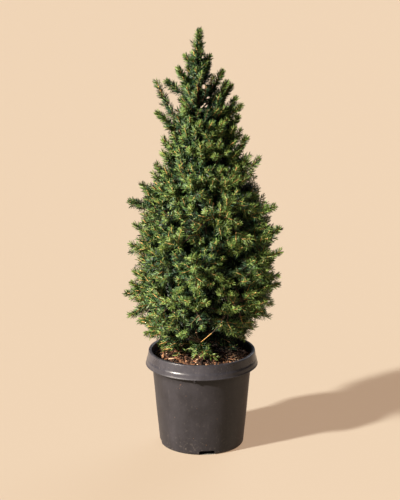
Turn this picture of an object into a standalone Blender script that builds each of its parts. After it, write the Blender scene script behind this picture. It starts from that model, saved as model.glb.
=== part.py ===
"""A potted dwarf Alberta spruce, about a metre tall, in a round black nursery pot.

Metres, +Z up. The origin is the centre of the pot's flat underside, the front is -Y, and azimuths are
measured from +X towards +Y. One trunk runs whole from the soil to the tip. Nineteen boughs leave it in
four tiers, each carrying one mass of foliage, and the masses higher up sit close round the trunk.
"""

import math

import bmesh
import bpy
import numpy as np
from mathutils import Vector, noise

# ---------------------------------------------------------------- driving sizes

GAP = 0.0004  # clearance between pieces that touch
SEGMENTS = 40  # facets round the pot and the soil

# Pot: a tapered nursery pot with a hanging collar round its rim
POT_HEIGHT = 0.2268
WALL = 0.0022
FLOOR = 0.0024
BASE_RADIUS = 0.0980  # outside of the wall just above the base
WALL_DRAFT = 0.0908  # how much wider per metre of height
BASE_ROUND = 0.0050  # rounding between the wall and the foot ring
FOOT_WIDTH = 0.0035  # flat of the foot ring
CENTRE_PAD_RADIUS = 0.0540  # flat disc in the middle of the underside
CENTRE_PAD_SLOPE = 0.0060
CHANNEL_HEIGHT = 0.0095  # raised drain channel between the pad and the foot ring
WALL_TOP = 0.2195  # where the wall's outside meets the collar
COLLAR_LOW = 0.1925  # lower edge of the collar
COLLAR_RADIUS = 0.1300  # outside of the lower edge
COLLAR_FOLD = 0.2040  # height of the crease where the collar starts to flare
COLLAR_FOLD_RADIUS = 0.1266
LIP_RADIUS = 0.1237  # outside of the lip
LIP_ROUND = 0.0022
COLLAR_WALL = 0.0024
NOTCH_COUNT = 4
NOTCH_AZIMUTH = -83.1  # the notch nearest the front
NOTCH_HEIGHT = 0.0087
NOTCH_WIDTH = 0.0390  # at the ground
NOTCH_TOP_WIDTH = 0.0300
DRAIN_COUNT = 8
DRAIN_RADIUS = 0.0060
DRAIN_RING = 0.0760  # distance of the drain holes from the centre
DRAIN_SIDES = 8
RIB_COUNT = 4
RIB_AZIMUTH = -97.6
RIB_WIDTH = 0.0035
RIB_LOW = 0.1885
RIB_HIGH = 0.2150

# Soil
SOIL_HEIGHT = 0.2125
SOIL_LEVEL_RADIUS = 0.0200  # level round the foot of the trunk
SOIL_DIP = 0.0030  # how far the bark lies below its highest level

# Trunk: (height, x, y) of its middle line
TRUNK_LINE = (
    (0.2125, 0.0020, 0.0000),
    (0.4500, -0.0030, 0.0040),
    (0.8000, -0.0093, 0.0020),
    (0.9620, -0.0055, 0.0000),
)
TRUNK_RADIUS = 0.0095
TRUNK_TIP_RADIUS = 0.0011
FLARE = 0.0045  # how much wider the trunk is at the soil
FLARE_HEIGHT = 0.0180  # height over which the flare fades
TRUNK_SIDES = 10
TRUNK_RINGS = 16

# Crown: (height, reach to the left, reach to the right), measured from the trunk's middle line
CROWN = (
    (0.235, 0.105, 0.095),
    (0.275, 0.132, 0.120),
    (0.310, 0.158, 0.157),
    (0.370, 0.163, 0.178),
    (0.450, 0.156, 0.181),
    (0.530, 0.148, 0.177),
    (0.590, 0.138, 0.160),
    (0.650, 0.107, 0.138),
    (0.700, 0.083, 0.108),
    (0.760, 0.070, 0.093),
    (0.820, 0.052, 0.072),
    (0.870, 0.045, 0.048),
    (0.910, 0.029, 0.031),
    (0.945, 0.014, 0.014),
)
CROWN_TOP = 0.9810
LEADER_SIDES = 10
LEADER_RINGS = (0.912, 0.930, 0.948, 0.964)  # heights of the rings of tufts up the leader
LEADER_TUFT = 0.28  # how far those tufts stand out and lie back, as a share of the reach

# Tiers of foliage, from the lowest up. Each starts on a cone that meets the trunk's middle line at "height"
# and climbs by "climb" per metre outwards. "turn" is where its first mass starts, in degrees. "hollow" is the
# share of the reach left open round the trunk, and "slit" is the gap between neighbouring masses.
TIER_VALUES = ("name", "height", "climb", "masses", "turn", "hollow", "slit")
TIER_ROWS = (
    ("skirt", 0.2345, 0.02, 5, 12, 0.34, 0.0012),
    ("low", 0.2850, 0.15, 5, 50, 0.30, 0.0012),
    ("middle", 0.3750, 0.25, 5, 20, 0.28, 0.0012),
    ("waist", 0.4650, 0.35, 4, 62, 0.26, 0.0012),
    ("shoulder", 0.5550, 0.50, 4, 30, 0.0, 0.0014),
    ("upper", 0.6500, 0.65, 4, 8, 0.0, 0.0030),
    ("crest", 0.7500, 0.80, 4, 7, 0.0, 0.0070),
    ("leader", 0.8500, 1.00, 1, 0, 0.0, 0.0),
)
TIERS = tuple(dict(zip(TIER_VALUES, row)) for row in TIER_ROWS)
TIER_WAVE = 0.0110  # how far the cones between tiers rise and fall
SECTOR_SHIFT = 7.0  # degrees by which the sides of a mass leave an even spacing
BUD_WIDTH = 0.34  # width of a mass where its bough enters, as a share of its full width
ROUNDING = 7.0  # the higher, the fuller the edges of a mass
PINCH = 0.06  # unevenness of the sides of a mass, as a share of its width
LUMP = 0.05  # unevenness of a mass, as a share of the reach
TUFT = 0.085  # how far a tuft stands out, as a share of the reach

# Tips that stand out from the crown: (azimuth, height, distance from the trunk's middle line)
TIPS = (
    (186, 0.263, 0.133),
    (176, 0.305, 0.170),
    (184, 0.360, 0.178),
    (172, 0.484, 0.161),
    (176, 0.626, 0.130),
    (192, 0.788, 0.096),
    (187, 0.893, 0.048),
    (6, 0.306, 0.163),
    (-6, 0.382, 0.183),
    (5, 0.463, 0.188),
    (-8, 0.568, 0.176),
    (4, 0.679, 0.140),
    (-4, 0.806, 0.100),
)

# Long single shoots that leave the crown's outline: (name, tier they grow from, root, tip)
SHOOTS = (
    ("shoot_left_high", "upper", (-0.0690, 0.004, 0.7840), (-0.1050, 0.006, 0.8630)),
    ("shoot_left_second", "crest", (-0.0580, 0.012, 0.8340), (-0.0840, 0.020, 0.8570)),
    ("shoot_left_middle", "waist", (-0.1420, -0.010, 0.5740), (-0.1680, -0.014, 0.5850)),
)
SHOOT_RADIUS = 0.0085
SHOOT_SIDES = 6
# (place along the shoot, share of its radius)
SHOOT_RINGS = ((0.2, 0.55), (0.4, 0.9), (0.65, 1.0), (0.88, 0.8))
SHOOT_BEND = 0.05  # share of the length

# Sprays that lie on the soil: (name, azimuth, reach, half width, top)
SPRAYS = (
    ("spray_low_left", 186.0, 0.0960, 0.0190, 0.2325),
    ("spray_low_front", -62.0, 0.0740, 0.0150, 0.2310),
)

# Boughs
BOUGH_RADIUS = 0.0036
BOUGH_TIP_RADIUS = 0.0015
BOUGH_DROP = 0.45  # how far below its mass a bough leaves the trunk, as a share of its length
BOUGH_SIDES = 6
BOUGH_STEPS = 4

COLOURS = {
    "pot": ((0.055, 0.052, 0.052, 1.0), 0.45),
    "soil": ((0.120, 0.065, 0.038, 1.0), 0.95),
    "bark": ((0.130, 0.085, 0.055, 1.0), 0.90),
    "needles": ((0.055, 0.120, 0.035, 1.0), 0.60),
}


# ---------------------------------------------------------------- helpers


def clear_scene():
    for item in list(bpy.data.objects):
        bpy.data.objects.remove(item, do_unlink=True)


def material(name, look):
    colour, roughness = COLOURS[look]
    made = bpy.data.materials.new(name)
    made.use_nodes = True
    shader = made.node_tree.nodes["Principled BSDF"]
    shader.inputs["Base Color"].default_value = colour
    shader.inputs["Roughness"].default_value = roughness
    shader.inputs["Metallic"].default_value = 0.0
    return made


def add_object(name, bm, look, smooth=True):
    """Turns a closed bmesh into a named object with its faces pointing out."""
    bmesh.ops.recalc_face_normals(bm, faces=bm.faces[:])
    if bm.calc_volume(signed=True) < 0:
        bmesh.ops.reverse_faces(bm, faces=bm.faces[:])
    mesh = bpy.data.meshes.new(name)
    bm.to_mesh(mesh)
    bm.free()
    mesh.materials.append(material(name, look))
    if smooth:
        mesh.shade_smooth()
        mesh.set_sharp_from_angle(angle=math.radians(35))
    made = bpy.data.objects.new(name, mesh)
    bpy.context.collection.objects.link(made)
    return made


def add_cutter(name, bm):
    """An object that only cuts others and isn't part of the plant."""
    made = add_object(name, bm, "pot", smooth=False)
    made.hide_render = True
    made.display_type = "WIRE"
    return made


def cut(target, cutter, operation="DIFFERENCE"):
    modifier = target.modifiers.new(cutter.name, "BOOLEAN")
    modifier.operation = operation
    modifier.solver = "EXACT"
    modifier.object = cutter


def loft(bm, rings):
    """Joins rings of equal length into a tube and caps both ends. A ring of one point is a pole."""
    loops = [[bm.verts.new(point) for point in ring] for ring in rings]
    for low, high in zip(loops, loops[1:]):
        count = max(len(low), len(high))
        for i in range(count):
            j = (i + 1) % count
            corners = [low[i % len(low)], low[j % len(low)], high[j % len(high)], high[i % len(high)]]
            bm.faces.new(list(dict.fromkeys(corners)))
    for loop in (loops[0], loops[-1]):
        if len(loop) > 2:
            bm.faces.new(loop)
    return loops


def turned(profile, segments):
    """A solid of revolution about +Z from (radius, height) points that start and end on the axis."""
    bm = bmesh.new()
    rings = []
    for radius, height in profile:
        if radius == 0.0:
            rings.append([Vector((0.0, 0.0, height))])
            continue
        turns = [2.0 * math.pi * i / segments for i in range(segments)]
        rings.append([Vector((radius * math.cos(a), radius * math.sin(a), height)) for a in turns])
    loft(bm, rings)
    return bm


def smooth_step(value):
    t = min(max(value, 0.0), 1.0)
    return t * t * (3.0 - 2.0 * t)


def uneven(*place):
    """Smooth, repeatable unevenness between -1 and 1."""
    return max(-1.0, min(1.0, 1.6 * noise.noise(Vector(place))))


# ---------------------------------------------------------------- trunk line and crown outline


def trunk_middle(height):
    heights, xs, ys = zip(*TRUNK_LINE)
    x = float(np.interp(height, heights, xs))
    y = float(np.interp(height, heights, ys))
    return Vector((x, y, height))


def trunk_radius(height, azimuth=0.0):
    """Radius of the trunk, with low buttresses where it meets the soil."""
    foot = TRUNK_LINE[0][0]
    top = TRUNK_LINE[-1][0]
    share = min(max((height - foot) / (top - foot), 0.0), 1.0)
    straight = TRUNK_RADIUS + (TRUNK_TIP_RADIUS - TRUNK_RADIUS) * share**0.9
    fade = math.exp(-(height - foot) / FLARE_HEIGHT)
    return straight + FLARE * fade * (0.8 + 0.2 * math.cos(5.0 * azimuth))


def crown_reach(azimuth, height):
    """Distance from the trunk's middle line to the outside of the crown."""
    heights, lefts, rights = zip(*CROWN)
    left = float(np.interp(height, heights, lefts))
    right = float(np.interp(height, heights, rights))
    share = 0.5 + 0.5 * math.cos(azimuth)
    return left + (right - left) * share


def at(azimuth, radius, height):
    """A point in the crown's own cylindrical coordinates, round the trunk's middle line."""
    middle = trunk_middle(height)
    return middle + Vector((radius * math.cos(azimuth), radius * math.sin(azimuth), 0.0))


def cone_height(index, azimuth, radius):
    """Height of the cone under a tier at a place in the crown."""
    tier = TIERS[index]
    wave = 0.0
    if index > 0:
        broad = math.sin(3.0 * azimuth + 1.7 * index)
        narrow = math.sin(5.0 * azimuth + 2.9 * index)
        wave = TIER_WAVE * (0.6 * broad + 0.4 * narrow)
    return tier["height"] + tier["climb"] * radius + wave * smooth_step(radius / 0.09)


def height_in_tier(index, azimuth, radius, share):
    low = cone_height(index, azimuth, radius) + GAP
    high = cone_height(index + 1, azimuth, radius) - GAP
    return low + (high - low) * share


def reach_in_tier(index, azimuth, share):
    """Reach of the crown along a line that climbs with the tier."""
    reach = 0.1
    for _ in range(12):
        reach = crown_reach(azimuth, height_in_tier(index, azimuth, reach, share))
    return reach


def sector_sides(index):
    """Azimuths of the sides of each mass in a tier."""
    tier = TIERS[index]
    count = tier["masses"]
    sides = []
    for i in range(count):
        shift = SECTOR_SHIFT * math.sin(2.3 * i + index) if tier["slit"] < 0.002 else 0.0
        sides.append(math.radians(tier["turn"] + 360.0 * i / count + shift))
    sides.append(sides[0] + 2.0 * math.pi)
    return list(zip(sides, sides[1:]))


# ---------------------------------------------------------------- pot and soil


def wall_outside(height):
    return BASE_RADIUS + WALL_DRAFT * (height - BASE_ROUND)


def wall_inside(height):
    return wall_outside(height) - WALL


def arc(centre_r, centre_z, radius, start, end, steps):
    """Points of a rounding in a turned profile, from one angle to another in degrees."""
    points = []
    for i in range(steps + 1):
        a = math.radians(start + (end - start) * i / steps)
        points.append((centre_r + radius * math.cos(a), centre_z + radius * math.sin(a)))
    return points


def pot_profile():
    foot_out = BASE_RADIUS - BASE_ROUND
    foot_in = foot_out - FOOT_WIDTH
    pad_edge = CENTRE_PAD_RADIUS + CENTRE_PAD_SLOPE
    channel_top = CHANNEL_HEIGHT + FLOOR
    underside = [
        (0.0, 0.0),
        (CENTRE_PAD_RADIUS, 0.0),
        (pad_edge, CHANNEL_HEIGHT),
        (foot_in, CHANNEL_HEIGHT),
        (foot_in, 0.0),
    ]
    base = arc(foot_out, BASE_ROUND, BASE_ROUND, -90, 0, 3)
    wall_top = wall_outside(WALL_TOP)
    under_collar = [
        (wall_top, WALL_TOP),
        (wall_top + 0.0018, WALL_TOP + 0.0040),
        (LIP_RADIUS - COLLAR_WALL, WALL_TOP + 0.0015),
        (COLLAR_FOLD_RADIUS - COLLAR_WALL, COLLAR_FOLD),
        (COLLAR_RADIUS - COLLAR_WALL, COLLAR_LOW + 0.0008),
    ]
    edge = [(COLLAR_RADIUS - 0.5 * COLLAR_WALL, COLLAR_LOW), (COLLAR_RADIUS, COLLAR_LOW + 0.0010)]
    collar = [
        (COLLAR_FOLD_RADIUS, COLLAR_FOLD),
        (0.5 * (COLLAR_FOLD_RADIUS + LIP_RADIUS) - 0.0002, 0.5 * (COLLAR_FOLD + POT_HEIGHT)),
    ]
    lip_out = arc(LIP_RADIUS - LIP_ROUND, POT_HEIGHT - LIP_ROUND, LIP_ROUND, 0, 90, 2)
    lip_low = POT_HEIGHT - LIP_ROUND
    lip_in = arc(wall_inside(lip_low) + LIP_ROUND, lip_low, LIP_ROUND, 90, 180, 2)
    inside = [
        (wall_inside(channel_top + WALL), channel_top + WALL),
        (wall_inside(channel_top) - WALL, channel_top),
        (pad_edge, channel_top),
        (CENTRE_PAD_RADIUS, FLOOR),
        (0.0, FLOOR),
    ]
    return underside + base + under_collar + edge + collar + lip_out + lip_in + inside


def notch_cutter(index):
    """A tapered slot through the foot ring, open at the ground."""
    low = -0.002
    spread = (NOTCH_WIDTH - NOTCH_TOP_WIDTH) / NOTCH_HEIGHT
    outline = [
        (-0.5 * (NOTCH_WIDTH - spread * low), low),
        (0.5 * (NOTCH_WIDTH - spread * low), low),
        (0.5 * NOTCH_TOP_WIDTH, NOTCH_HEIGHT),
        (-0.5 * NOTCH_TOP_WIDTH, NOTCH_HEIGHT),
    ]
    turn = math.radians(NOTCH_AZIMUTH + 360.0 * index / NOTCH_COUNT)
    out = Vector((math.cos(turn), math.sin(turn), 0.0))
    side = Vector((-math.sin(turn), math.cos(turn), 0.0))
    bm = bmesh.new()
    rings = []
    for distance in (CENTRE_PAD_RADIUS + 2.0 * CENTRE_PAD_SLOPE, BASE_RADIUS + 0.02):
        rings.append([out * distance + side * s + Vector((0.0, 0.0, z)) for s, z in outline])
    loft(bm, rings)
    return bm


def drain_cutter(index):
    turn = 2.0 * math.pi * (index + 0.5) / DRAIN_COUNT
    middle = Vector((DRAIN_RING * math.cos(turn), DRAIN_RING * math.sin(turn), 0.0))
    bm = bmesh.new()
    angles = [2.0 * math.pi * i / DRAIN_SIDES for i in range(DRAIN_SIDES)]
    circle = [middle + DRAIN_RADIUS * Vector((math.cos(a), math.sin(a), 0.0)) for a in angles]
    rings = []
    for height in (CHANNEL_HEIGHT - 0.003, CHANNEL_HEIGHT + FLOOR + 0.003):
        rings.append([place + Vector((0.0, 0.0, height)) for place in circle])
    loft(bm, rings)
    return bm


def rib_piece(index):
    """A web that ties the collar to the wall and shows just under the collar's edge."""
    turn = math.radians(RIB_AZIMUTH + 360.0 * index / RIB_COUNT)
    out = Vector((math.cos(turn), math.sin(turn), 0.0))
    side = Vector((-math.sin(turn), math.cos(turn), 0.0))
    inner_low = wall_outside(RIB_LOW) - 0.5 * WALL
    inner_high = wall_outside(RIB_HIGH) - 0.5 * WALL
    outline = [
        (inner_low, RIB_LOW),
        (COLLAR_RADIUS - 1.4 * COLLAR_WALL, RIB_LOW),
        (COLLAR_RADIUS - 0.6 * COLLAR_WALL, COLLAR_LOW + 0.0012),
        (LIP_RADIUS - 0.5 * COLLAR_WALL, RIB_HIGH),
        (inner_high, RIB_HIGH),
    ]
    bm = bmesh.new()
    rings = []
    for offset in (-0.5 * RIB_WIDTH, 0.5 * RIB_WIDTH):
        rings.append([out * r + side * offset + Vector((0.0, 0.0, z)) for r, z in outline])
    loft(bm, rings)
    return bm


def build_pot():
    pot = add_object("pot", turned(pot_profile(), SEGMENTS), "pot")
    for i in range(RIB_COUNT):
        cut(pot, add_cutter(f"rib_{i + 1}", rib_piece(i)), "UNION")
    for i in range(NOTCH_COUNT):
        cut(pot, add_cutter(f"notch_{i + 1}", notch_cutter(i)))
    for i in range(DRAIN_COUNT):
        cut(pot, add_cutter(f"drain_{i + 1}", drain_cutter(i)))


def build_soil():
    """Bark mix that fills the pot to a little below the rim, level round the trunk."""
    channel_top = CHANNEL_HEIGHT + FLOOR
    pad_edge = CENTRE_PAD_RADIUS + CENTRE_PAD_SLOPE
    rim = wall_inside(SOIL_HEIGHT - SOIL_DIP) - GAP
    profile = [
        (0.0, FLOOR + GAP),
        (CENTRE_PAD_RADIUS - GAP, FLOOR + GAP),
        (pad_edge - GAP, channel_top + GAP),
        (wall_inside(channel_top) - WALL - GAP, channel_top + GAP),
        (wall_inside(channel_top + WALL) - GAP, channel_top + WALL + GAP),
        (rim, SOIL_HEIGHT - SOIL_DIP),
        (0.86 * rim, SOIL_HEIGHT),
        (0.62 * rim, SOIL_HEIGHT),
        (0.40 * rim, SOIL_HEIGHT),
        (SOIL_LEVEL_RADIUS, SOIL_HEIGHT),
        (0.0, SOIL_HEIGHT),
    ]
    bm = turned(profile, SEGMENTS)
    for vertex in bm.verts:
        distance = vertex.co.xy.length
        if vertex.co.z > 0.9 * SOIL_HEIGHT and distance > 1.1 * SOIL_LEVEL_RADIUS and distance < 0.9 * rim:
            dip = 0.5 + 0.5 * uneven(vertex.co.x * 30.0, vertex.co.y * 30.0, 4.0)
            vertex.co.z -= SOIL_DIP * dip
    add_object("soil", bm, "soil")


# ---------------------------------------------------------------- trunk and boughs


def build_trunk():
    foot = TRUNK_LINE[0][0] + GAP
    top = TRUNK_LINE[-1][0]
    bm = bmesh.new()
    rings = []
    for i in range(TRUNK_RINGS):
        share = (i / (TRUNK_RINGS - 1)) ** 1.6
        height = foot + (top - foot) * share
        angles = [2.0 * math.pi * k / TRUNK_SIDES for k in range(TRUNK_SIDES)]
        rings.append([at(a, trunk_radius(height, a), height) for a in angles])
    loft(bm, rings)
    add_object("trunk", bm, "bark")


def build_bough(name, azimuth, radius, height):
    """One tapering limb from the trunk to the inner end of its mass, at the place given."""
    length = radius - trunk_radius(height)
    root_height = height - BOUGH_DROP * length
    bm = bmesh.new()
    rings = []
    for i in range(BOUGH_STEPS + 1):
        share = i / BOUGH_STEPS
        start = trunk_radius(root_height) + GAP
        distance = start + (radius - 1.5 * GAP - start) * share
        rise = root_height + (height - root_height) * share**1.3
        thick = BOUGH_RADIUS + (BOUGH_TIP_RADIUS - BOUGH_RADIUS) * share
        middle = at(azimuth, distance, rise)
        side = Vector((-math.sin(azimuth), math.cos(azimuth), 0.0))
        up = Vector((0.0, 0.0, 1.0))
        angles = [2.0 * math.pi * k / BOUGH_SIDES for k in range(BOUGH_SIDES)]
        rings.append([middle + (side * math.cos(a) + up * math.sin(a)) * thick for a in angles])
    loft(bm, rings)
    add_object(name, bm, "bark")


# ---------------------------------------------------------------- foliage


def block(cuts):
    """A cube from -1 to 1 with its faces divided into a grid."""
    bm = bmesh.new()
    bmesh.ops.create_cube(bm, size=2.0)
    bmesh.ops.subdivide_edges(bm, edges=bm.edges[:], cuts=cuts, use_grid_fill=True)
    return bm


def rounded(point, power):
    """Pulls the edges and corners of a cube in, as a superellipsoid does."""
    size = sum(abs(c) ** power for c in point) ** (1.0 / power)
    return point / size


def inner_radius(index, azimuth, share):
    """Where a mass starts: at its bough's end, or close round the trunk."""
    hollow = TIERS[index]["hollow"]
    if hollow:
        return hollow * reach_in_tier(index, azimuth, 0.5)
    height = height_in_tier(index, azimuth, 0.01, share)
    return trunk_radius(height) + 2.0 * GAP


def mass_point(index, start, end, cube_point, seed):
    """Maps a point of the cube to its place in one mass of a tier."""
    soft = rounded(cube_point, ROUNDING)
    out = 0.5 + 0.5 * soft.x
    width = BUD_WIDTH + (1.0 - BUD_WIDTH) * smooth_step(out / 0.55)
    pinch = 1.0 - PINCH * abs(uneven(7.0 * soft.x + seed, 3.0 * soft.y, 3.0 * soft.z))
    middle = 0.5 * (start + end)
    half = 0.5 * (end - start)
    share = 0.5 + 0.5 * soft.z * width * pinch
    inner = inner_radius(index, middle, share)
    rough_azimuth = middle + soft.y * half * width * pinch
    reach = reach_in_tier(index, rough_azimuth, share)
    outer = reach * (1.0 + LUMP * uneven(2.3 * soft.y + seed, 2.3 * soft.z, 0.7 * seed) - 0.02)
    if cube_point.x > 0.999:
        tuft = uneven(5.1 * cube_point.y, 5.1 * cube_point.z + seed, 1.9 * seed)
        outer += TUFT * reach * (math.sqrt(max(0.0, tuft)) - 0.3)
    radius = inner + (outer - inner) * out
    slit = 0.5 * TIERS[index]["slit"] / radius
    azimuth = middle + soft.y * min(half * width * pinch, half - slit)
    return at(azimuth, radius, height_in_tier(index, azimuth, radius, share))


def tips_inside(index, start, end):
    """The named tips and the roots of single shoots that belong to one mass."""
    wanted = [at(math.radians(degrees), radius, height) for degrees, height, radius in TIPS]
    wanted += [Vector(root) for name, tier, root, tip in SHOOTS if tier == TIERS[index]["name"]]
    found = []
    for place in wanted:
        arm = place - trunk_middle(place.z)
        azimuth = math.atan2(arm.y, arm.x)
        azimuth += 2.0 * math.pi * math.floor((end - azimuth) / (2.0 * math.pi))
        low = height_in_tier(index, azimuth, arm.length, 0.06)
        high = height_in_tier(index, azimuth, arm.length, 0.94)
        if start + 0.03 < azimuth < end - 0.03 and low < place.z < high:
            found.append(place)
    return found


def build_mass(index, number, start, end):
    tier = TIERS[index]
    seed = 3.7 * index + 1.3 * number
    bm = block(3 if tier["hollow"] else 2)
    outside = []
    for vertex in bm.verts:
        cube_point = vertex.co.copy()
        vertex.co = mass_point(index, start, end, cube_point, seed)
        if cube_point.x > 0.999 and abs(cube_point.y) < 0.9 and abs(cube_point.z) < 0.9:
            outside.append(vertex)
    for tip in tips_inside(index, start, end):
        nearest = min(outside, key=lambda vertex: (vertex.co - tip).length)
        nearest.co = tip
        outside.remove(nearest)
    add_object(f"foliage_{tier['name']}_{number}", bm, "needles")
    if tier["hollow"]:
        middle = 0.5 * (start + end)
        radius = inner_radius(index, middle, 0.5)
        height = height_in_tier(index, middle, radius, 0.5)
        build_bough(f"bough_{tier['name']}_{number}", middle, radius, height)


def build_leader():
    """The top mass, with a pocket for the end of the trunk."""
    index = len(TIERS) - 1
    trunk_top = TRUNK_LINE[-1][0]
    angles = [2.0 * math.pi * k / LEADER_SIDES for k in range(LEADER_SIDES)]
    start = trunk_radius(TIERS[index]["height"]) + 1.5 * GAP
    pocket_low = []
    for a in angles:
        pocket_low.append(at(a, start, cone_height(index, a, start) + GAP))
    rings = [[trunk_middle(trunk_top + 1.5 * GAP)]]
    rings.append([at(a, TRUNK_TIP_RADIUS + 1.5 * GAP, trunk_top + GAP) for a in angles])
    rings.append(pocket_low)
    outer_low = []
    for a in angles:
        reach = 0.03
        for _ in range(12):
            reach = crown_reach(a, cone_height(index, a, reach) + GAP)
        outer_low.append((a, reach))
    rings.append([at(a, reach, cone_height(index, a, reach) + GAP) for a, reach in outer_low])
    for level, height in enumerate(LEADER_RINGS):
        ring = []
        for i, a in enumerate(angles):
            reach = crown_reach(a, min(height, CROWN[-1][0])) * (1.0 if level < 2 else 0.75)
            bump = 1.0 + LEADER_TUFT * (1 if (i + level) % 2 else -1)
            ring.append(at(a, max(reach * bump, 3.0 * TRUNK_TIP_RADIUS), height))
        rings.append(ring)
    rings.append([trunk_middle(CROWN_TOP)])
    bm = bmesh.new()
    loft(bm, rings)
    add_object("foliage_leader", bm, "needles")


def build_shoot(name, root, tip):
    """A single slightly bent shoot, pointed at both ends, that starts at a corner of its mass."""
    root = Vector(root)
    tip = Vector(tip)
    along = (tip - root).normalized()
    side = along.cross(Vector((0.0, 1.0, 0.0))).normalized()
    other = along.cross(side).normalized()
    rings = [[root + along * 1.5 * GAP]]
    for share, full in SHOOT_RINGS:
        bend = SHOOT_BEND * (tip - root).length * math.sin(math.pi * share)
        middle = root.lerp(tip, share) + other * bend
        angles = [2.0 * math.pi * k / SHOOT_SIDES for k in range(SHOOT_SIDES)]
        thick = SHOOT_RADIUS * full
        rings.append([middle + (side * math.cos(a) + other * math.sin(a)) * thick for a in angles])
    rings.append([tip])
    bm = bmesh.new()
    loft(bm, rings)
    add_object(name, bm, "needles")


def build_spray(name, degrees, end, half_width, top):
    """A flat spray of foliage that lies on the soil and grows from the foot of the trunk."""
    azimuth = math.radians(degrees)
    low = SOIL_HEIGHT + GAP
    facet = 0.5 + 0.5 * math.cos(math.pi / TRUNK_SIDES)
    start = facet * trunk_radius(0.5 * (low + top), azimuth) + GAP
    bm = block(2)
    foot = trunk_middle(TRUNK_LINE[0][0])
    out = Vector((math.cos(azimuth), math.sin(azimuth), 0.0))
    side = Vector((-math.sin(azimuth), math.cos(azimuth), 0.0))
    for vertex in bm.verts:
        soft = rounded(vertex.co.copy(), 3.0)
        share = 0.5 + 0.5 * soft.x
        width = half_width * (0.30 + 0.70 * smooth_step(share / 0.6))
        rise = (low + top) / 2.0 + 0.5 * (top - low) * soft.z * (0.55 + 0.45 * smooth_step(share / 0.5))
        reach = end + 0.006 * uneven(4.0 * soft.y, 4.0 * soft.z, degrees)
        place = foot + out * (start + (reach - start) * share) + side * (soft.y * width)
        vertex.co = Vector((place.x, place.y, rise))
    add_object(name, bm, "needles")


def build_foliage():
    for index in range(len(TIERS) - 1):
        for number, (start, end) in enumerate(sector_sides(index), start=1):
            build_mass(index, number, start, end)
    build_leader()
    for name, _, root, tip in SHOOTS:
        build_shoot(name, root, tip)
    for spray in SPRAYS:
        build_spray(*spray)


clear_scene()
build_pot()
build_soil()
build_trunk()
build_foliage()
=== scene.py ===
"""Looks of a potted dwarf Alberta spruce: a moulded nursery pot, bark mulch and a dense cone of needles.

Everything grows from the places of the CAD model: the trunk, a limb for each low mass, and a crown whose
outline is given by its reach to the left and right at each height. Metres, +Z up, the front is -Y.
"""

from collections import namedtuple
from math import acos, asin, atan2, cos, degrees, exp, floor, hypot, pi, radians, sin, sqrt, tan, tau

import bmesh
import bpy
import numpy as np
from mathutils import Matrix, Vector, noise


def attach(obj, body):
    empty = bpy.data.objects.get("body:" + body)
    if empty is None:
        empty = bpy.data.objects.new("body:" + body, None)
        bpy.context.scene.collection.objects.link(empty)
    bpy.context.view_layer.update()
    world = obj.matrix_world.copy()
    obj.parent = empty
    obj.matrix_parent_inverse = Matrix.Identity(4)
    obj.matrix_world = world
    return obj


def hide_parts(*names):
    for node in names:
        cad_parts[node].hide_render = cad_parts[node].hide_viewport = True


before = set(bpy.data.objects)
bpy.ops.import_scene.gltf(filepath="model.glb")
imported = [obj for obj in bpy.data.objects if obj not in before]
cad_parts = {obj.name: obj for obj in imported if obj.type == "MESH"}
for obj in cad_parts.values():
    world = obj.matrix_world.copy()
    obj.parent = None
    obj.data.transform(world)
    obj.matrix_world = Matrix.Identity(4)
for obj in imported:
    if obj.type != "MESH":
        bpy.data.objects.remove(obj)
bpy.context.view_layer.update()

SEED = 41
GOLDEN = pi * (3.0 - sqrt(5.0))
UP = np.array((0.0, 0.0, 1.0))


def scaled(rows, *units):
    """A table of whole numbers with each column divided by its unit, such as 1000 for millimetres."""
    return [tuple(value if unit == 1 else value / unit for value, unit in zip(row, units)) for row in rows]


# ---- sizes shared with the CAD model

SOIL_HEIGHT = 0.2125
POT_HEIGHT = 0.2268
RIM_INSIDE = 0.1155

TRUNK_HEIGHTS = (0.2125, 0.4500, 0.8000, 0.9620)
TRUNK_X = (0.0020, -0.0030, -0.0093, -0.0055)
TRUNK_Y = (0.0000, 0.0040, 0.0020, 0.0000)
TRUNK_RADIUS = 0.0095
TRUNK_TIP_RADIUS = 0.0011
FLARE = 0.0045
FLARE_HEIGHT = 0.0180

# The crown's reach to the left and to the right of the trunk at each height, in millimetres
CROWN_HEIGHTS, CROWN_LEFT, CROWN_RIGHT = (
    np.array(
        (
            (235, 275, 310, 370, 450, 530, 590, 650, 700, 760, 820, 870, 910, 945),
            (105, 132, 158, 163, 156, 148, 138, 107, 83, 70, 52, 45, 29, 14),
            (95, 120, 157, 178, 181, 177, 160, 138, 108, 93, 72, 48, 31, 14),
        )
    )
    / 1000.0
)

# Name, height at the trunk, climb, masses, turn, share of the reach left open round the trunk
TIERS = (
    ("skirt", 0.2345, 0.02, 5, 12, 0.34),
    ("low", 0.2850, 0.15, 5, 50, 0.30),
    ("middle", 0.3750, 0.25, 5, 20, 0.28),
    ("waist", 0.4650, 0.35, 4, 62, 0.26),
    ("shoulder", 0.5550, 0.50, 4, 30, 0.0),
    ("upper", 0.6500, 0.65, 4, 8, 0.0),
    ("crest", 0.7500, 0.80, 4, 7, 0.0),
    ("leader", 0.8500, 1.00, 1, 0, 0.0),
)
TIER_WAVE = 0.0110
SECTOR_SHIFT = 7.0
BOUGH_RADIUS = 0.0036
BOUGH_TIP_RADIUS = 0.0015
BOUGH_DROP = 0.45

# ---- camera and lights

CAMERA_PLACE = (-0.0040, -4.5000, 1.7370)
CAMERA_PITCH = 15.78
CAMERA_LENS = 146.7
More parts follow.
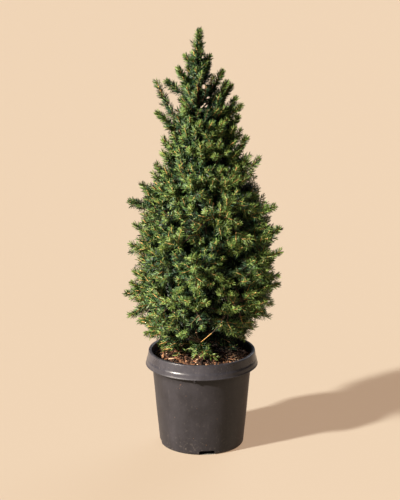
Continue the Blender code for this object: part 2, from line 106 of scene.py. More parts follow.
# Name, strength, width in degrees, colour, azimuth and height of each sun
SUNS = (
    ("key", 11.5, 4.0, (1.0, 0.90, 0.78), -148.0, 29.0),
    ("back", 0.9, 40.0, (0.90, 0.95, 1.0), 62.0, 36.0),
)
AMBIENT = 0.035
AMBIENT_COLOUR = (0.80, 0.90, 1.15)
BACKDROP_COLOUR = (0.84, 0.644, 0.456)
SOFTBOX_AZIMUTH = -125.0
SOFTBOX_HEIGHT = 18.0
SOFTBOX_DISTANCE = 3.2
SOFTBOX_TARGET = (0.0, 0.0, 0.45)
SOFTBOX_SIZE = 2.2
SOFTBOX_POWER = 5.2
SOFTBOX_COLOUR = (0.90, 0.95, 1.0)
# The floor glows a little, so that the plant's shadow on it is as light as in a bright room, but not under
# the pot: name, radius, height, glow
FLOORS = (("floor", 14.0, -0.0005, 1.0), ("floor_under_pot", 0.0950, -0.0002, 0.0))
FLOOR_COLOUR = (0.225, 0.216, 0.185)
FLOOR_GLOW = (0.420, 0.265, 0.160)

# ---- growth

# Heights, and the lift of a shoot there in degrees
LIFT = ((0.24, 0.31, 0.40, 0.50, 0.60, 0.70, 0.82, 0.90, 0.97), (-8, 6, 22, 34, 42, 50, 54, 60, 74))
# Heights, and the gap between sprays there
SPRAY_GAP = ((0.24, 0.60, 0.76, 0.84, 0.96), (0.0280, 0.0275, 0.0245, 0.0205, 0.0155))

# Tips in the crown's outline as seen from the front: x, height, lift in degrees
OUTLINE_TIPS = scaled(
    (
        (-38, 919, 62), (-55, 893, 62), (-104, 788, 42), (-89, 729, 58), (-93, 701, 50), (-105, 669, 55),
        (-115, 649, 42), (-138, 626, 55), (-156, 529, 35), (-166, 484, 20), (-159, 418, 35),
        (-165, 389, 28), (-180, 360, 4), (-156, 345, 8), (-171, 305, -14), (-150, 288, -8),
        (-133, 263, -12), (18, 919, 64), (33, 897, 62), (48, 884, 60), (58, 862, 60), (68, 850, 56),
        (78, 822, 56), (91, 808, 42), (83, 782, 56), (89, 750, 58), (102, 728, 60), (132, 679, 52),
        (169, 568, 24), (181, 518, 38), (184, 463, 28), (179, 405, 18), (181, 382, 10), (167, 336, 4),
        (161, 306, -6), (121, 280, -14),
    ),
    1000, 1000, 1,
)
TIP_INSET = 0.0050  # a stem ends this far short of its needles
TIP_NEARER = 0.46  # the tips in the right of the outline stand to the front by this share of their x
TIP_RAISE = 0.324  # and are raised by this share of that, to be seen at the same place
# Seen from above the crown swells and folds in: azimuth, width in degrees, share of the reach
LOBES = ((-37.0, 15.0, 0.07), (-66.0, 15.0, -0.10))

# The long single shoots of the CAD model on the left: tier and mass, root, tip
LONG_SHOOTS = (
    ((5, 2), (-0.0560, 0.004, 0.7600), (-0.1020, 0.006, 0.8570)),
    ((6, 2), (-0.0420, 0.010, 0.8260), (-0.0800, 0.020, 0.8540)),
    ((3, 2), (-0.1200, -0.008, 0.5660), (-0.1640, -0.014, 0.5840)),
)
# The sprays of the CAD model that lie on the mulch: vigour, path from the trunk to the tip
LOW_SPRAYS = (
    (0.6, ((0, -0.010, 0.252), (-0.010, -0.034, 0.250), (-0.013, -0.050, 0.240), (-0.015, -0.062, 0.229))),
    (1.0, ((-0.004, 0, 0.243), (-0.030, -0.004, 0.238), (-0.062, -0.008, 0.230), (-0.090, -0.0095, 0.228))),
    (0.8, ((0.001, -0.01, 0.256), (-0.0085, -0.042, 0.253), (-0.001, -0.056, 0.24), (0.033, -0.066, 0.2275))),
)
# A twig that has lost its needles, low on the front
BARE_TWIG = (
    (0.0560, -0.1100, 0.3465), (0.0330, -0.1600, 0.3265),
    (0.0150, -0.1560, 0.3095), (-0.0022, -0.1470, 0.2915),
)
# Tips that stand out on the front of the crown: x, height, and how far the shoot runs sideways and upwards
FRONT_TIPS = scaled(
    (
        (45, 777, 40, 86), (73, 763, 38, 87), (-3, 779, 17, 63), (-4, 734, -8, 95), (29, 704, 9, 15),
        (56, 711, 4, 16), (45, 679, 21, 71), (97, 688, 35, 71), (-26, 659, -9, 76), (83, 657, 72, 62),
        (-65, 632, -2, 47), (-26, 722, -5, 43), (-37, 812, -5, 60), (2, 637, 12, 94), (-66, 638, -9, 95),
        (-26, 647, -18, 71), (-45, 553, 24, 88), (56, 615, 3, 95), (91, 608, 59, 16), (85, 561, 47, 29),
        (111, 527, 77, 21), (148, 520, 54, 24), (148, 480, 56, 77), (152, 433, 47, 30), (67, 512, 9, 7),
        (-15, 469, 5, 45), (-4, 429, 35, 65), (43, 440, 40, 0), (69, 426, 54, 12), (43, 405, 5, 9),
        (65, 397, 5, 12), (143, 377, 76, 51), (13, 388, 59, 21), (-13, 374, 9, 1), (80, 366, 59, 35),
        (-35, 311, 28, 34), (87, 304, 95, 5), (73, 280, 88, -35), (-119, 261, -24, -27),
        (-21, 488, 2, 15), (-71, 528, -5, 34), (-91, 502, -24, 15), (-111, 405, -26, 6),
        (-49, 415, 9, 33), (-29, 389, 56, -9),
    ),
    1000, 1000, 100, 100,
)
# Dark hollows in the front of the crown: x, height, half width, half height
HOLLOWS = scaled(
    (
        (2, 529, 17, 32), (109, 565, 35, 25), (54, 680, 9, 16), (85, 475, 23, 24), (9, 413, 9, 16),
        (28, 350, 17, 26), (17, 304, 19, 17), (-41, 450, 15, 18), (92, 399, 16, 20), (6, 649, 12, 8),
        (75, 336, 20, 14), (-80, 463, 14, 11), (99, 632, 14, 17),
    ),
    1000, 1000, 1000, 1000,
)
# Layers of sprays from the outside in: spacing, share of the reach, light, vigour, length with side shoots
LAYERS = (
    (1.00, 1.00, 0.74, 1.08, 0.085),
    (0.90, 0.86, 0.36, 1.00, 0.085),
    (0.92, 0.70, 0.16, 1.10, 0.090),
    (1.05, 0.53, 0.06, 1.15, 0.090),
    (1.15, 0.36, 0.00, 1.20, 0.090),
)
LAYER_HEIGHTS = (0.244, 0.962)
WIDEST_REACH = 0.185
UNDERSIDE = 0.2360  # no shoot hangs lower, apart from the sprays that lie on the mulch
UNDERSIDE_RISE = 0.0580
SET_BACK = 0.0120  # most tips keep this far inside the crown's outline
FROM_TRUNK = 0.80  # twigs to places higher than this start at the trunk itself
CREST_SHADE = 0.09  # the shoots of the crest are a little darker
RIGHT_FRONT_PAINTED_LIGHT = 0.13  # and those of the right front a little lighter
LIT = 0.30  # shoots with more light than this are new ones
LIMB_RADIUS = 0.0026
LIMB_TIP_RADIUS = 0.0010
TWIG_RADIUS = 0.0016
TWIG_TIP_RADIUS = 0.0008
LEADING_LENGTH = (0.036, 0.050)
# Side shoots of a spray from its tip inwards: number in a whorl, length, how much darker than the leading one
WHORLS = ((3, 0.026, 0.17), (3, 0.036, 0.33), (2, 0.038, 0.44), (2, 0.034, 0.50), (2, 0.030, 0.54))
WHORL_GAP = (0.024, 0.032)
WHORL_SPREAD = (41.0, 7.0)  # mean and deviation in degrees
# Places seen from the front where nothing grows: x, height, half width, half height
OPENINGS = scaled(
    (
        (41, 8468, 38, 52), (123, 8537, 24, 30), (130, 8213, 24, 24), (12, 7997, 34, 42),
        (95, 8051, 38, 52), (20, 9131, 24, 36), (293, 8786, 18, 22),
    ),
    10000, 10000, 10000, 10000,
)
# Where the front of the trunk can be seen
BARE_TRUNK = ((-0.0072, 0.8230, 0.0040, 0.0340),)

NEEDLE_LENGTH = 0.0112
NEEDLE_WIDTH = 0.0016
NEEDLES_PER_METRE = 1500.0
# Along a shoot, from 0 at its root to 1 at its tip: how far the needles lean out in degrees, and their size
NEEDLE_LEAN = ((0.0, 0.35, 0.8, 1.0), (66.0, 61.0, 52.0, 32.0))
NEEDLE_TAPER = ((0.0, 0.2, 0.8, 1.0), (0.82, 1.0, 1.0, 0.80))
# Needles in the shade are wider, so that fewer of them fill the inside of the crown: light, width
NEEDLE_WIDENING = ((0.0, 0.35), (1.6, 1.0))
BLADE_TWIST = 0.6
SIDE_ON = 0.28
NORMAL_ROUND = 0.45
NORMAL_JITTER = 0.34
STEM_RADIUS = 0.00135
PART_TOWARDS = np.array((0.0, 0.8, -0.2))

NEEDLE_COLOURS = (
    ("needles_shade", (0.007, 0.018, 0.007)),
    ("needles_deep", (0.018, 0.049, 0.021)),
    ("needles_blue", (0.034, 0.090, 0.045)),
    ("needles_mid", (0.050, 0.107, 0.027)),
    ("needles_fresh", (0.089, 0.152, 0.034)),
    ("needles_tip", (0.148, 0.216, 0.047)),
    ("needles_pale", (0.120, 0.168, 0.076)),
    ("needles_dry", (0.150, 0.075, 0.028)),
)
SHADE, DEEP, BLUE, MID, FRESH, TIP, PALE, DRY = range(len(NEEDLE_COLOURS))
NEEDLE_ROUGHNESS = 0.50
NEEDLE_SPECULAR = 0.32
# Twigs from the newest to the oldest: name, colour, roughness
WOOD = (
    ("new_wood", (0.56, 0.315, 0.100), 0.6),
    ("year_wood", (0.20, 0.112, 0.050), 0.7),
    ("old_wood", (0.065, 0.040, 0.024), 0.8),
)

# ---- small helpers


def unit(v):
    return v / max(float(np.linalg.norm(v)), 1e-9)


def unit_rows(v):
    return v / np.maximum(np.linalg.norm(v, axis=1, keepdims=True), 1e-9)


def square_to(direction):
    """Two unit vectors square to a direction and to each other."""
    helper = UP if abs(direction[2]) < 0.9 else np.array((1.0, 0.0, 0.0))
    side = unit(np.cross(direction, helper))
    return side, np.cross(direction, side)


def square_rows(along):
    """The same for every row of an array of directions, none of them quite upright."""
    side = unit_rows(np.cross(along, UP + np.array((0.01, 0.02, 0.0))))
    return side, np.cross(along, side)


def spoke(direction, turn):
    """A unit vector square to a direction, turned round it."""
    side, other = square_to(direction)
    return side * cos(turn) + other * sin(turn)


def wobble(place, scale, seed=0.0):
    x, y, z = (value * scale for value in place)
    return noise.noise(Vector((x + seed, y - seed, z + 2.0 * seed)))


def smooth_step(value):
    t = min(max(value, 0.0), 1.0)
    return t * t * (3.0 - 2.0 * t)


def neighbours(count):
    """Each corner of a closed ring with the next."""
    return [(i, (i + 1) % count) for i in range(count)]


# ---- the crown's own coordinates


def trunk_middle(height):
    x, y = np.interp(height, TRUNK_HEIGHTS, TRUNK_X), np.interp(height, TRUNK_HEIGHTS, TRUNK_Y)
    return np.array((x, y, height))


def trunk_radius(height):
    foot, top = TRUNK_HEIGHTS[0], TRUNK_HEIGHTS[-1]
    share = min(max((height - foot) / (top - foot), 0.0), 1.0)
    straight = TRUNK_RADIUS + (TRUNK_TIP_RADIUS - TRUNK_RADIUS) * share**0.9
    return straight + FLARE * exp(-(height - foot) / FLARE_HEIGHT)


def crown_reach(azimuth, height):
    left, right = (np.interp(height, CROWN_HEIGHTS, side) for side in (CROWN_LEFT, CROWN_RIGHT))
    return float(left + (right - left) * (0.5 + 0.5 * cos(azimuth)))


def lobed_reach(azimuth, height):
    """The crown's reach with the swelling and the fold of its right front."""
    fade = smooth_step((height - 0.24) / 0.06) * smooth_step((0.76 - height) / 0.10)
    scale = 1.0
    for centre, width, swell in LOBES:
        off = (degrees(azimuth) - centre + 180.0) % 360.0 - 180.0
        scale += swell * fade * exp(-((off / width) ** 2))
    return crown_reach(azimuth, height) * scale


def at(azimuth, radius, height):
    return trunk_middle(height) + radius * np.array((cos(azimuth), sin(azimuth), 0.0))


def cone_height(index, azimuth, radius):
    """The height of the underside of a tier."""
    height, climb = TIERS[index][1:3]
    wave = 0.0
    if index > 0:
        wave = TIER_WAVE * (0.6 * sin(3.0 * azimuth + 1.7 * index) + 0.4 * sin(5.0 * azimuth + 2.9 * index))
    return height + climb * radius + wave * smooth_step(radius / 0.09)


def height_in_tier(index, azimuth, radius, share):
    low = cone_height(index, azimuth, radius)
    return low + (cone_height(index + 1, azimuth, radius) - low) * share


def reach_in_tier(index, azimuth, share):
    reach = 0.1
    for _ in range(12):
        reach = crown_reach(azimuth, height_in_tier(index, azimuth, reach, share))
    return reach


def sectors(index):
    """Azimuths of the sides of each mass in a tier."""
    name, _, _, count, turn, _ = TIERS[index]
    even = name in ("upper", "crest", "leader")
    sides = []
    for i in range(count):
        shift = 0.0 if even else SECTOR_SHIFT * sin(2.3 * i + index)
        sides.append(radians(turn + 360.0 * i / count + shift))
    sides.append(sides[0] + tau)
    return list(zip(sides, sides[1:]))


def mass_of(place):
    """The tier and the number of the mass that a place belongs to."""
    arm = place - trunk_middle(place[2])
    azimuth, radius = atan2(arm[1], arm[0]), hypot(arm[0], arm[1])
    index = 0
    while index + 1 < len(TIERS) and place[2] > cone_height(index + 1, azimuth, radius):
        index += 1
    for number, (start, end) in enumerate(sectors(index), 1):
        if start <= azimuth + tau * floor((end - azimuth) / tau) <= end:
            return index, number
    return index, 1


def front_place(x, height, share):
    """The place on the front of the crown with a given x and height."""
    across = x - trunk_middle(height)[0]
    azimuth = -0.5 * pi
    for _ in range(12):
        azimuth = -acos(min(max(across / (share * lobed_reach(azimuth, height)), -1.0), 1.0))
    return at(azimuth, share * lobed_reach(azimuth, height), height)


def in_hollow(place, grow):
    """Whether a place on the front of the crown lies in one of its dark hollows."""
    return place[1] <= 0.0 and any(
        ((place[0] - x) / (half_width * grow)) ** 2 + ((place[2] - height) / (half_height * grow)) ** 2 < 1.0
        for x, height, half_width, half_height in HOLLOWS
    )


def in_opening(points, grow=1.0, openings=OPENINGS):
    """Which points lie where the crown is open, as seen from the front."""
    points = np.atleast_2d(points)
    found = np.zeros(len(points), bool)
    for x, height, half_width, half_height in openings:
        far = points[:, 1] / -CAMERA_PLACE[1]
        middle_x = x + (x - CAMERA_PLACE[0]) * far
        middle_z = height + (height - CAMERA_PLACE[2]) * far
        across = (points[:, 0] - middle_x) / (half_width * grow)
        upward = (points[:, 2] - middle_z) / (half_height * grow)
        found |= across**2 + upward**2 < 1.0
    return found


# ---- meshes


def new_object(name, data):
    made = bpy.data.objects.new(name, data)
    bpy.context.collection.objects.link(made)
    return made


def put(node, **values):
    """Sets inputs of a node. An underscore in a name stands for a space."""
    for name, value in values.items():
        node.inputs[name.replace("_", " ")].default_value = value


def plain_material(name, colour, roughness, specular=0.5):
    made = bpy.data.materials.new(name)
    made.use_nodes = True
    shader = made.node_tree.nodes["Principled BSDF"]
    put(shader, Base_Color=(*colour, 1.0), Roughness=roughness, Specular_IOR_Level=specular)
    return made


def mesh_object(name, points, faces, materials, indices=None, smooth=True):
    """An object from an array of points and an array of faces that all have as many corners."""
    mesh = bpy.data.meshes.new(name)
    faces = np.asarray(faces, np.int32)
    count, corners = faces.shape
    mesh.vertices.add(len(points))
    mesh.vertices.foreach_set("co", np.asarray(points, np.float32).ravel())
    mesh.loops.add(count * corners)
    mesh.loops.foreach_set("vertex_index", faces.ravel())
    mesh.polygons.add(count)
    mesh.polygons.foreach_set("loop_start", np.arange(0, count * corners, corners, dtype=np.int32))
    if indices is not None:
        mesh.polygons.foreach_set("material_index", np.asarray(indices, np.int32))
    for item in materials:
        mesh.materials.append(item)
    mesh.update(calc_edges=True)
    if smooth:
        mesh.shade_smooth()
    return new_object(name, mesh)


def tube(path, radii, sides, relief=None):
    """Points and triangles of a tapering tube along a path, closed at both ends."""
    path = np.asarray(path)
    heading = unit_rows(np.gradient(path, axis=0))
    side = square_to(heading[0])[0]
    turn = tau * np.arange(sides) / sides
    rings = []
    for place, along, radius in zip(path, heading, radii):
        side = unit(side - along * float(side @ along))
        ring = np.outer(np.cos(turn), side) + np.outer(np.sin(turn), np.cross(along, side))
        size = np.full(sides, radius)
        if relief is not None:
            size = np.array([radius * (1.0 + relief(place + radius * d)) for d in ring])
        rings.append(place + ring * size[:, None])
    points = np.concatenate(rings + [path[:1], path[-1:]])
    faces = []
    last = (len(path) - 1) * sides
    for k in range(0, last, sides):
        for i, j in neighbours(sides):
            faces += [(k + i, k + j, k + sides + j), (k + i, k + sides + j, k + sides + i)]
    low, high = last + sides, last + sides + 1
    for i, j in neighbours(sides):
        faces += [(low, j, i), (high, last + i, last + j)]
    return points, np.array(faces)


def join_tubes(tubes):
    """One set of points and triangles from many."""
    points, faces, start = [], [], 0
    for some_points, some_faces in tubes:
        points.append(some_points)
        faces.append(some_faces + start)
        start += len(some_points)
    return np.concatenate(points), np.concatenate(faces)


# ---- growth of the plant

Shoot = namedtuple("Shoot", "root bend tip mass light bare dense needle thick stem tint")
limbs = []  # (path, radii) of woody limbs
twigs = []  # (path, radii, light) of sprays
shoots = []  # the shoots that carry needles
masses = {}  # the masses of foliage by tier and number


def lowest_at(place):
    """The least height of a shoot: the crown's underside is higher over the front of the pot."""
    azimuth = degrees(atan2(place[1], place[0]))
    rise = smooth_step((azimuth + 158.0) / 24.0) * smooth_step((-28.0 - azimuth) / 34.0)
    rise *= smooth_step((hypot(place[0], place[1]) - 0.045) / 0.045)
    return UNDERSIDE + UNDERSIDE_RISE * rise


def add_shoot(
    root, bend, tip, mass, light, bare=0.06, dense=1.0, needle=1.0, thick=1.0, stem=True, lying=False
):
    """A shoot on a curve. light runs from 0, old and shaded, to 1, new and in the sun."""
    if in_opening(np.array((root, 0.5 * (root + tip), tip)), 0.8).any():
        return
    if not lying:
        if min(root[2], tip[2]) < lowest_at(tip):
            return
        # the middle of the crown's underside is in deep shade at the front
        if tip[2] < 0.30 and hypot(tip[0], tip[1]) < 0.105 and -2.2 < atan2(tip[1], tip[0]) < -0.2:
            light = 0.35 * light
    tint = float(rng.uniform())
    shoots.append(Shoot(root, bend, tip, mass, light, bare, dense, needle, thick, stem, tint))


def steps_of(path):
    return np.linalg.norm(np.diff(path, axis=0), axis=1)


def path_length(path):
    return float(steps_of(path).sum())


def resample(path, count):
    """As many points as wanted, evenly along a path."""
    run = np.concatenate(([0.0], np.cumsum(steps_of(path))))
    wanted = np.linspace(0.0, run[-1], count)
    return np.stack([np.interp(wanted, run, path[:, k]) for k in range(3)], axis=1)


def respaced(values, count):
    """A list of values along a path, brought to another number of them."""
    return np.interp(np.linspace(0, 1, count), np.linspace(0, 1, len(values)), values)


def along_path(path, from_tip):
    """The place and direction at a distance back from the tip of a path."""
    steps = steps_of(path)
    run = np.concatenate(([0.0], np.cumsum(steps)))
    wanted = max(run[-1] - from_tip, 0.0)
    k = int(np.clip(np.searchsorted(run, wanted) - 1, 0, len(steps) - 1))
    share = (wanted - run[k]) / max(steps[k], 1e-9)
    return path[k] + (path[k + 1] - path[k]) * share, unit(path[k + 1] - path[k])


def curve(start, start_way, end, end_way, count=9, sway=0.004):
    """A limb's path from a place and direction to another, a little unsteady."""
    span = float(np.linalg.norm(end - start))
    p1 = start + unit(start_way) * span * 0.36
    p2 = end - unit(end_way) * span * 0.36
    t = np.linspace(0.0, 1.0, count)[:, None]
    path = (1 - t) ** 3 * start + 3 * t * (1 - t) ** 2 * p1 + 3 * t * t * (1 - t) * p2 + t**3 * end
    shift = np.array([[wobble(p, 28.0, s) for s in (1.0, 5.0, 9.0)] for p in path])
    return path + shift * sway * np.sin(pi * t)


def grow_spray(path, mass, light, vigour, reach_back, fat=1.0, lying=False):
    """Shoots along the outer part of a path: a leading one, a whorl at its foot, and older ones inwards."""
    length = path_length(path)
    slender = smooth_step((path[-1][2] - 0.62) / 0.15)
    light -= CREST_SHADE * smooth_step((path[-1][2] - 0.76) / 0.10)
    if path[-1][1] < 0.0:
        # painted light: the shoots of the right front get lighter colours, for the light that reaches them
        # there
        light += RIGHT_FRONT_PAINTED_LIGHT * smooth_step((path[-1][0] - 0.03) / 0.08)
    leading = min(rng.uniform(*LEADING_LENGTH) * vigour * (1.0 + 0.35 * slender), 0.8 * length)
    foot = along_path(path, leading)[0]
    tip, tip_way = path[-1], unit(path[-1] - path[-2])
    bend = 2.0 * along_path(path, 0.5 * leading)[0] - 0.5 * (foot + tip)
    dense = 1.15 * fat * (1.0 + 0.35 * slender)
    add_shoot(foot, bend, tip, mass, light, bare=0.0, dense=dense, needle=fat**0.2, stem=False, lying=lying)
    back, ring = leading, 0
    turn = rng.uniform(0.0, tau)
    while back < min(length - 0.004, reach_back):
        place, way = along_path(path, back)
        count, reach, older = WHORLS[min(ring, len(WHORLS) - 1)]
        for _ in range(count):
            turn += tau / count + rng.normal(0.0, 0.25)
            out = spoke(way, turn)
            if lying:
                out[2] *= 0.4
            out = unit(out)
            spread = radians(rng.normal(*WHORL_SPREAD))
            heading = unit(way * cos(spread) + out * sin(spread))
            size = vigour * rng.uniform(0.8, 1.15) * reach * (1.0 - 0.2 * slender)
            heading = unit(heading + 0.18 * tip_way + 0.32 * UP)
            end = place + size * heading
            bow = place + 0.5 * size * unit(heading + 0.14 * out - 0.10 * UP)
            age = light - older
            add_shoot(place, bow, end, mass, age, bare=0.08, lying=lying)
            if size > 0.034 and rng.uniform() < 0.5:
                # a side shoot from its middle
                start = 0.25 * place + 0.5 * bow + 0.25 * end
                fork = unit(heading + 0.9 * np.cross(heading, out) * rng.choice((-1.0, 1.0)))
                half = 0.5 * size
                end = start + half * unit(fork + 0.3 * heading)
                add_shoot(start, start + 0.5 * half * fork, end, mass, age + 0.02)
        if ring >= 1:
            # needles on the stem itself
            end = along_path(path, back - step)[0]
            age = light - 0.26 - 0.08 * ring
            add_shoot(place, 0.5 * (place + end), end, mass, age, dense=0.8, stem=False, lying=lying)
        step = rng.uniform(*WHORL_GAP) * vigour
        back += step
        ring += 1


def lift_at(height):
    return float(np.interp(height, *LIFT))


def way_at(azimuth, lift_degrees):
    lift = radians(lift_degrees)
    flat = cos(lift)
    return np.array((flat * cos(azimuth), flat * sin(azimuth), sin(lift)))


class Mass:
    """A mass of foliage: the places on its limbs that new limbs may leave from."""

    def __init__(self, index, start, end):
        self.index, self.start, self.end = index, start, end
        self.places, self.ways, self.thick = [], [], []

    def remember(self, path, radii, low, high):
        """Lets new limbs leave from a path between two shares of its length."""
        count = len(path) - 1
        for k in range(count):
            if low <= k / count <= high:
                self.places.append(path[k])
                self.ways.append(unit(path[k + 1] - path[k]))
                self.thick.append(radii[k])

    def main_limb(self):
        """The limb of the CAD model, carried on into the middle of the mass."""
        middle = 0.5 * (self.start + self.end)
        reach = reach_in_tier(self.index, middle, 0.5)
        radius = TIERS[self.index][5] * reach
        height = height_in_tier(self.index, middle, radius, 0.5)
        root_height = height - BOUGH_DROP * (radius - trunk_radius(height))
        root_radius = 0.5 * trunk_radius(root_height)
        path, radii = [], []
        for share in np.linspace(0.0, 1.0, 9):
            distance = root_radius + (radius - root_radius) * share
            path.append(at(middle, distance, root_height + (height - root_height) * share**1.3))
            radii.append(BOUGH_RADIUS + (BOUGH_TIP_RADIUS - BOUGH_RADIUS) * share)
        far = 0.80 * reach
        end = at(middle, far, height_in_tier(self.index, middle, far, 0.55))
        outer = curve(path[-1], path[-1] - path[-2], end, way_at(middle, lift_at(end[2])), 12, 0.008)
        path = np.concatenate((path, outer[1:]))
        radii = np.concatenate((radii, np.linspace(BOUGH_TIP_RADIUS, LIMB_TIP_RADIUS, 12)[1:]))
        limbs.append((path, radii))
        self.remember(path, radii, 0.35, 0.97)

    def trunk_limbs(self, shares=(0.35, 0.7, 0.5)):
        """Limbs that leave the trunk inside the mass."""
        for i, share in enumerate(shares):
            azimuth = self.start + (self.end - self.start) * (i + 0.5) / len(shares)
            far = 0.70 * reach_in_tier(self.index, azimuth, share)
            end = at(azimuth, far, height_in_tier(self.index, azimuth, far, share))
            lift = lift_at(end[2])
            root = trunk_middle(max(end[2] - far * tan(radians(min(lift, 50.0))), 0.3))
            way = way_at(azimuth, max(lift - 12.0, 5.0))
            path = curve(root, way, end, way_at(azimuth, lift + 6.0), 12, 0.006)
            radii = np.linspace(LIMB_RADIUS, LIMB_TIP_RADIUS, 12)
            limbs.append((path, radii))
            self.remember(path, radii, 0.15, 0.97)

    def nearest(self, target):
        """The best place for a twig to a target to leave from, with the way and the thickness there."""
        places = np.array(self.places)
        gaps = target - places
        spans = np.linalg.norm(gaps, axis=1)
        agree = np.einsum("ij,ij->i", gaps, np.array(self.ways)) / np.maximum(spans, 1e-6)
        cost = spans * (1.7 - 0.7 * agree) + 4.0 * np.maximum(0.050 - spans, 0.0)
        best = int(np.argmin(cost))
        way = unit(self.ways[best] + 0.7 * gaps[best] / spans[best])
        return places[best], way, min(TWIG_RADIUS, self.thick[best])


def grow_twig(target, way, light, vigour, reach_back, fat=1.0):
    """Grows a twig from the best place on the limbs to a target, with shoots along it."""
    key = mass_of(target - way * 0.02)
    if target[2] < lowest_at(target):
        return
    if target[2] > FROM_TRUNK or not masses[key].places:
        arm = target - trunk_middle(target[2])
        slope = asin(min(max(way[2], 0.1), 0.85))
        start = trunk_middle(min(max(target[2] - hypot(arm[0], arm[1]) * tan(slope), 0.26), 0.955))
        start_way, thick = unit(target - start), TWIG_RADIUS
    else:
        start, start_way, thick = masses[key].nearest(target)
    lead = min(0.036 * vigour, 0.4 * float(np.linalg.norm(target - start)))
    bowed = curve(start, start_way, target - way * lead, way, 8, 0.004)
    path = np.concatenate((bowed, [target - 0.5 * lead * way, target]))
    if in_opening(resample(path[len(path) // 2 :], 16)).any():
        return
    radii = np.linspace(thick, TWIG_TIP_RADIUS, len(path))
    twigs.append((path, radii, light))
    masses[key].remember(path, radii, 0.15, 0.45)
    grow_spray(path, key, light, vigour, reach_back, fat)


def spread_over_crown(gap_scale, share, taken):
    """Evenly spread places on the crown's outline, drawn in by a share."""
    found = []
    near = [np.array(p) for p in taken]
    for _ in range(int(12000 * share / gap_scale)):
        height = rng.uniform(*LAYER_HEIGHTS)
        azimuth = rng.uniform(-pi, pi)
        reach = lobed_reach(azimuth, height) * share
        if rng.uniform() > reach / WIDEST_REACH:
            continue
        front = abs(sin(azimuth))
        lump = 1.0 + (0.02 + 0.11 * front) * wobble(at(azimuth, reach, height), 15.0, 3.0) - 0.015
        proud = 0.010 * front if share == 1.0 and rng.uniform() < 0.35 else 0.0
        place = at(azimuth, max(reach * lump - SET_BACK + proud, 0.0), height)
        if share > 0.6 and in_hollow(place, 1.2 if share == 1.0 else share):
            continue
        gap = float(np.interp(height, *SPRAY_GAP)) * gap_scale
        if near and float(np.min(np.linalg.norm(np.array(near) - place, axis=1))) < gap:
            continue
        near.append(place)
        found.append((place, azimuth))
    return found


def grow_outline():
    """The twigs whose tips make up the outline seen from the front. Returns the places of the tips."""
    taken = []
    for x, height, lift in OUTLINE_TIPS:
        azimuth = pi if x < trunk_middle(height)[0] else radians(-16.0)
        way = unit(way_at(azimuth, lift) + np.array((0.0, rng.uniform(-0.15, 0.15), 0.0)))
        nearer = TIP_NEARER * max(x, 0.0) * smooth_step((0.80 - height) / 0.10)
        across = x - (x - CAMERA_PLACE[0]) * nearer / -CAMERA_PLACE[1]
        depth = rng.uniform(-0.012, 0.012) - nearer
        taken.append(np.array((across, depth, height + TIP_RAISE * nearer)) - way * TIP_INSET)
        grow_twig(taken[-1], way, 0.78, 1.08, 0.115, 2.2)
    return taken


def grow_front():
    """The twigs that stand out on the front. Returns the places of their tips."""
    taken = []
    for x, height, sideways, upward in FRONT_TIPS:
        taken.append(front_place(x, height, 0.99))
        way = unit(np.array((sideways, -sqrt(max(1.0 - sideways**2 - upward**2, 0.04)), upward)))
        grow_twig(taken[-1], way, 0.82 + rng.normal(0.0, 0.05), 1.10, 0.075, 1.5)
    return taken


def grow_long_shoots():
    for key, root, tip in LONG_SHOOTS:
        root, tip = np.array(root), np.array(tip)
        way = unit(tip - root)
        path = curve(root, way + 0.15 * UP, tip, way + 0.1 * UP, 9, 0.002)
        twigs.append((path, np.linspace(0.0013, 0.0009, 9), 0.7))
        length = path_length(path)
        for k in range(4):
            a, b = (along_path(path, length * (1.0 - part / 4.0))[0] for part in (k, k + 1))
            add_shoot(a, 0.5 * (a + b), b, key, 0.42 + 0.08 * k, bare=0.0, dense=1.7, needle=1.08, stem=False)
        for k in range(9):
            place, along = along_path(path, length * (0.20 + 0.085 * k))
            heading = unit(along * 0.8 + spoke(along, GOLDEN * k * 1.7) * 0.6)
            size = rng.uniform(0.009, 0.013) + 0.001 * k
            end = place + size * unit(heading + 0.2 * along)
            add_shoot(place, place + 0.5 * size * heading, end, key, 0.50)


def grow_low_sprays():
    for vigour, places in LOW_SPRAYS:
        path = resample(np.array(places), 14)
        path[1:-1] = 0.25 * path[:-2] + 0.5 * path[1:-1] + 0.25 * path[2:]
        twigs.append((path, np.linspace(0.0014, 0.0008, 14), 0.5))
        grow_spray(path, (0, 1), 0.92, vigour, 0.090, 1.3, lying=True)
    twigs.append((resample(np.array(BARE_TWIG), 10), np.linspace(0.0010, 0.0006, 10), 0.9))


def grow_leader():
    """The leading shoot of the trunk, and a spiral of short ones below it."""
    mass = (len(TIERS) - 1, 1)
    low, top = trunk_middle(0.9300), trunk_middle(0.9740)
    add_shoot(low, 0.5 * (low + top), top, mass, 0.70, bare=0.0, dense=2.6, needle=1.02, thick=1.3)
    for k in range(11):
        root = trunk_middle(0.892 + 0.0068 * k)
        size = 0.028 - 0.0015 * k
        way = way_at(GOLDEN * k + 0.4, 58.0 + 2.0 * k)
        add_shoot(root, root + 0.5 * size * unit(way - 0.2 * UP), root + size * way, mass, 0.66, dense=1.4)


def grow_plant():
    for index, (name, *_, hollow) in enumerate(TIERS):
        for number, (start, end) in enumerate(sectors(index), 1):
            mass = masses[(index, number)] = Mass(index, start, end)
            if hollow:
                mass.main_limb()
            elif name in ("shoulder", "upper"):
                mass.trunk_limbs()
    taken = grow_outline() + grow_front()
    for scale, share, light, vigour, back in LAYERS:
        for place, azimuth in spread_over_crown(scale, share, taken if share == 1.0 else []):
            lift = lift_at(place[2]) + rng.normal(0.0, 9.0)
            way = way_at(azimuth + rng.normal(0.0, 0.20), lift)
            grow_twig(place, way, light + rng.normal(0.0, 0.09), vigour * rng.uniform(0.9, 1.1), back)
    grow_long_shoots()
    grow_low_sprays()
    grow_leader()


# ---- needles


def columns(members, *names):
    """An array of each named value of the given shoots."""
    return [np.array([getattr(s, name) for s in members]) for name in names]


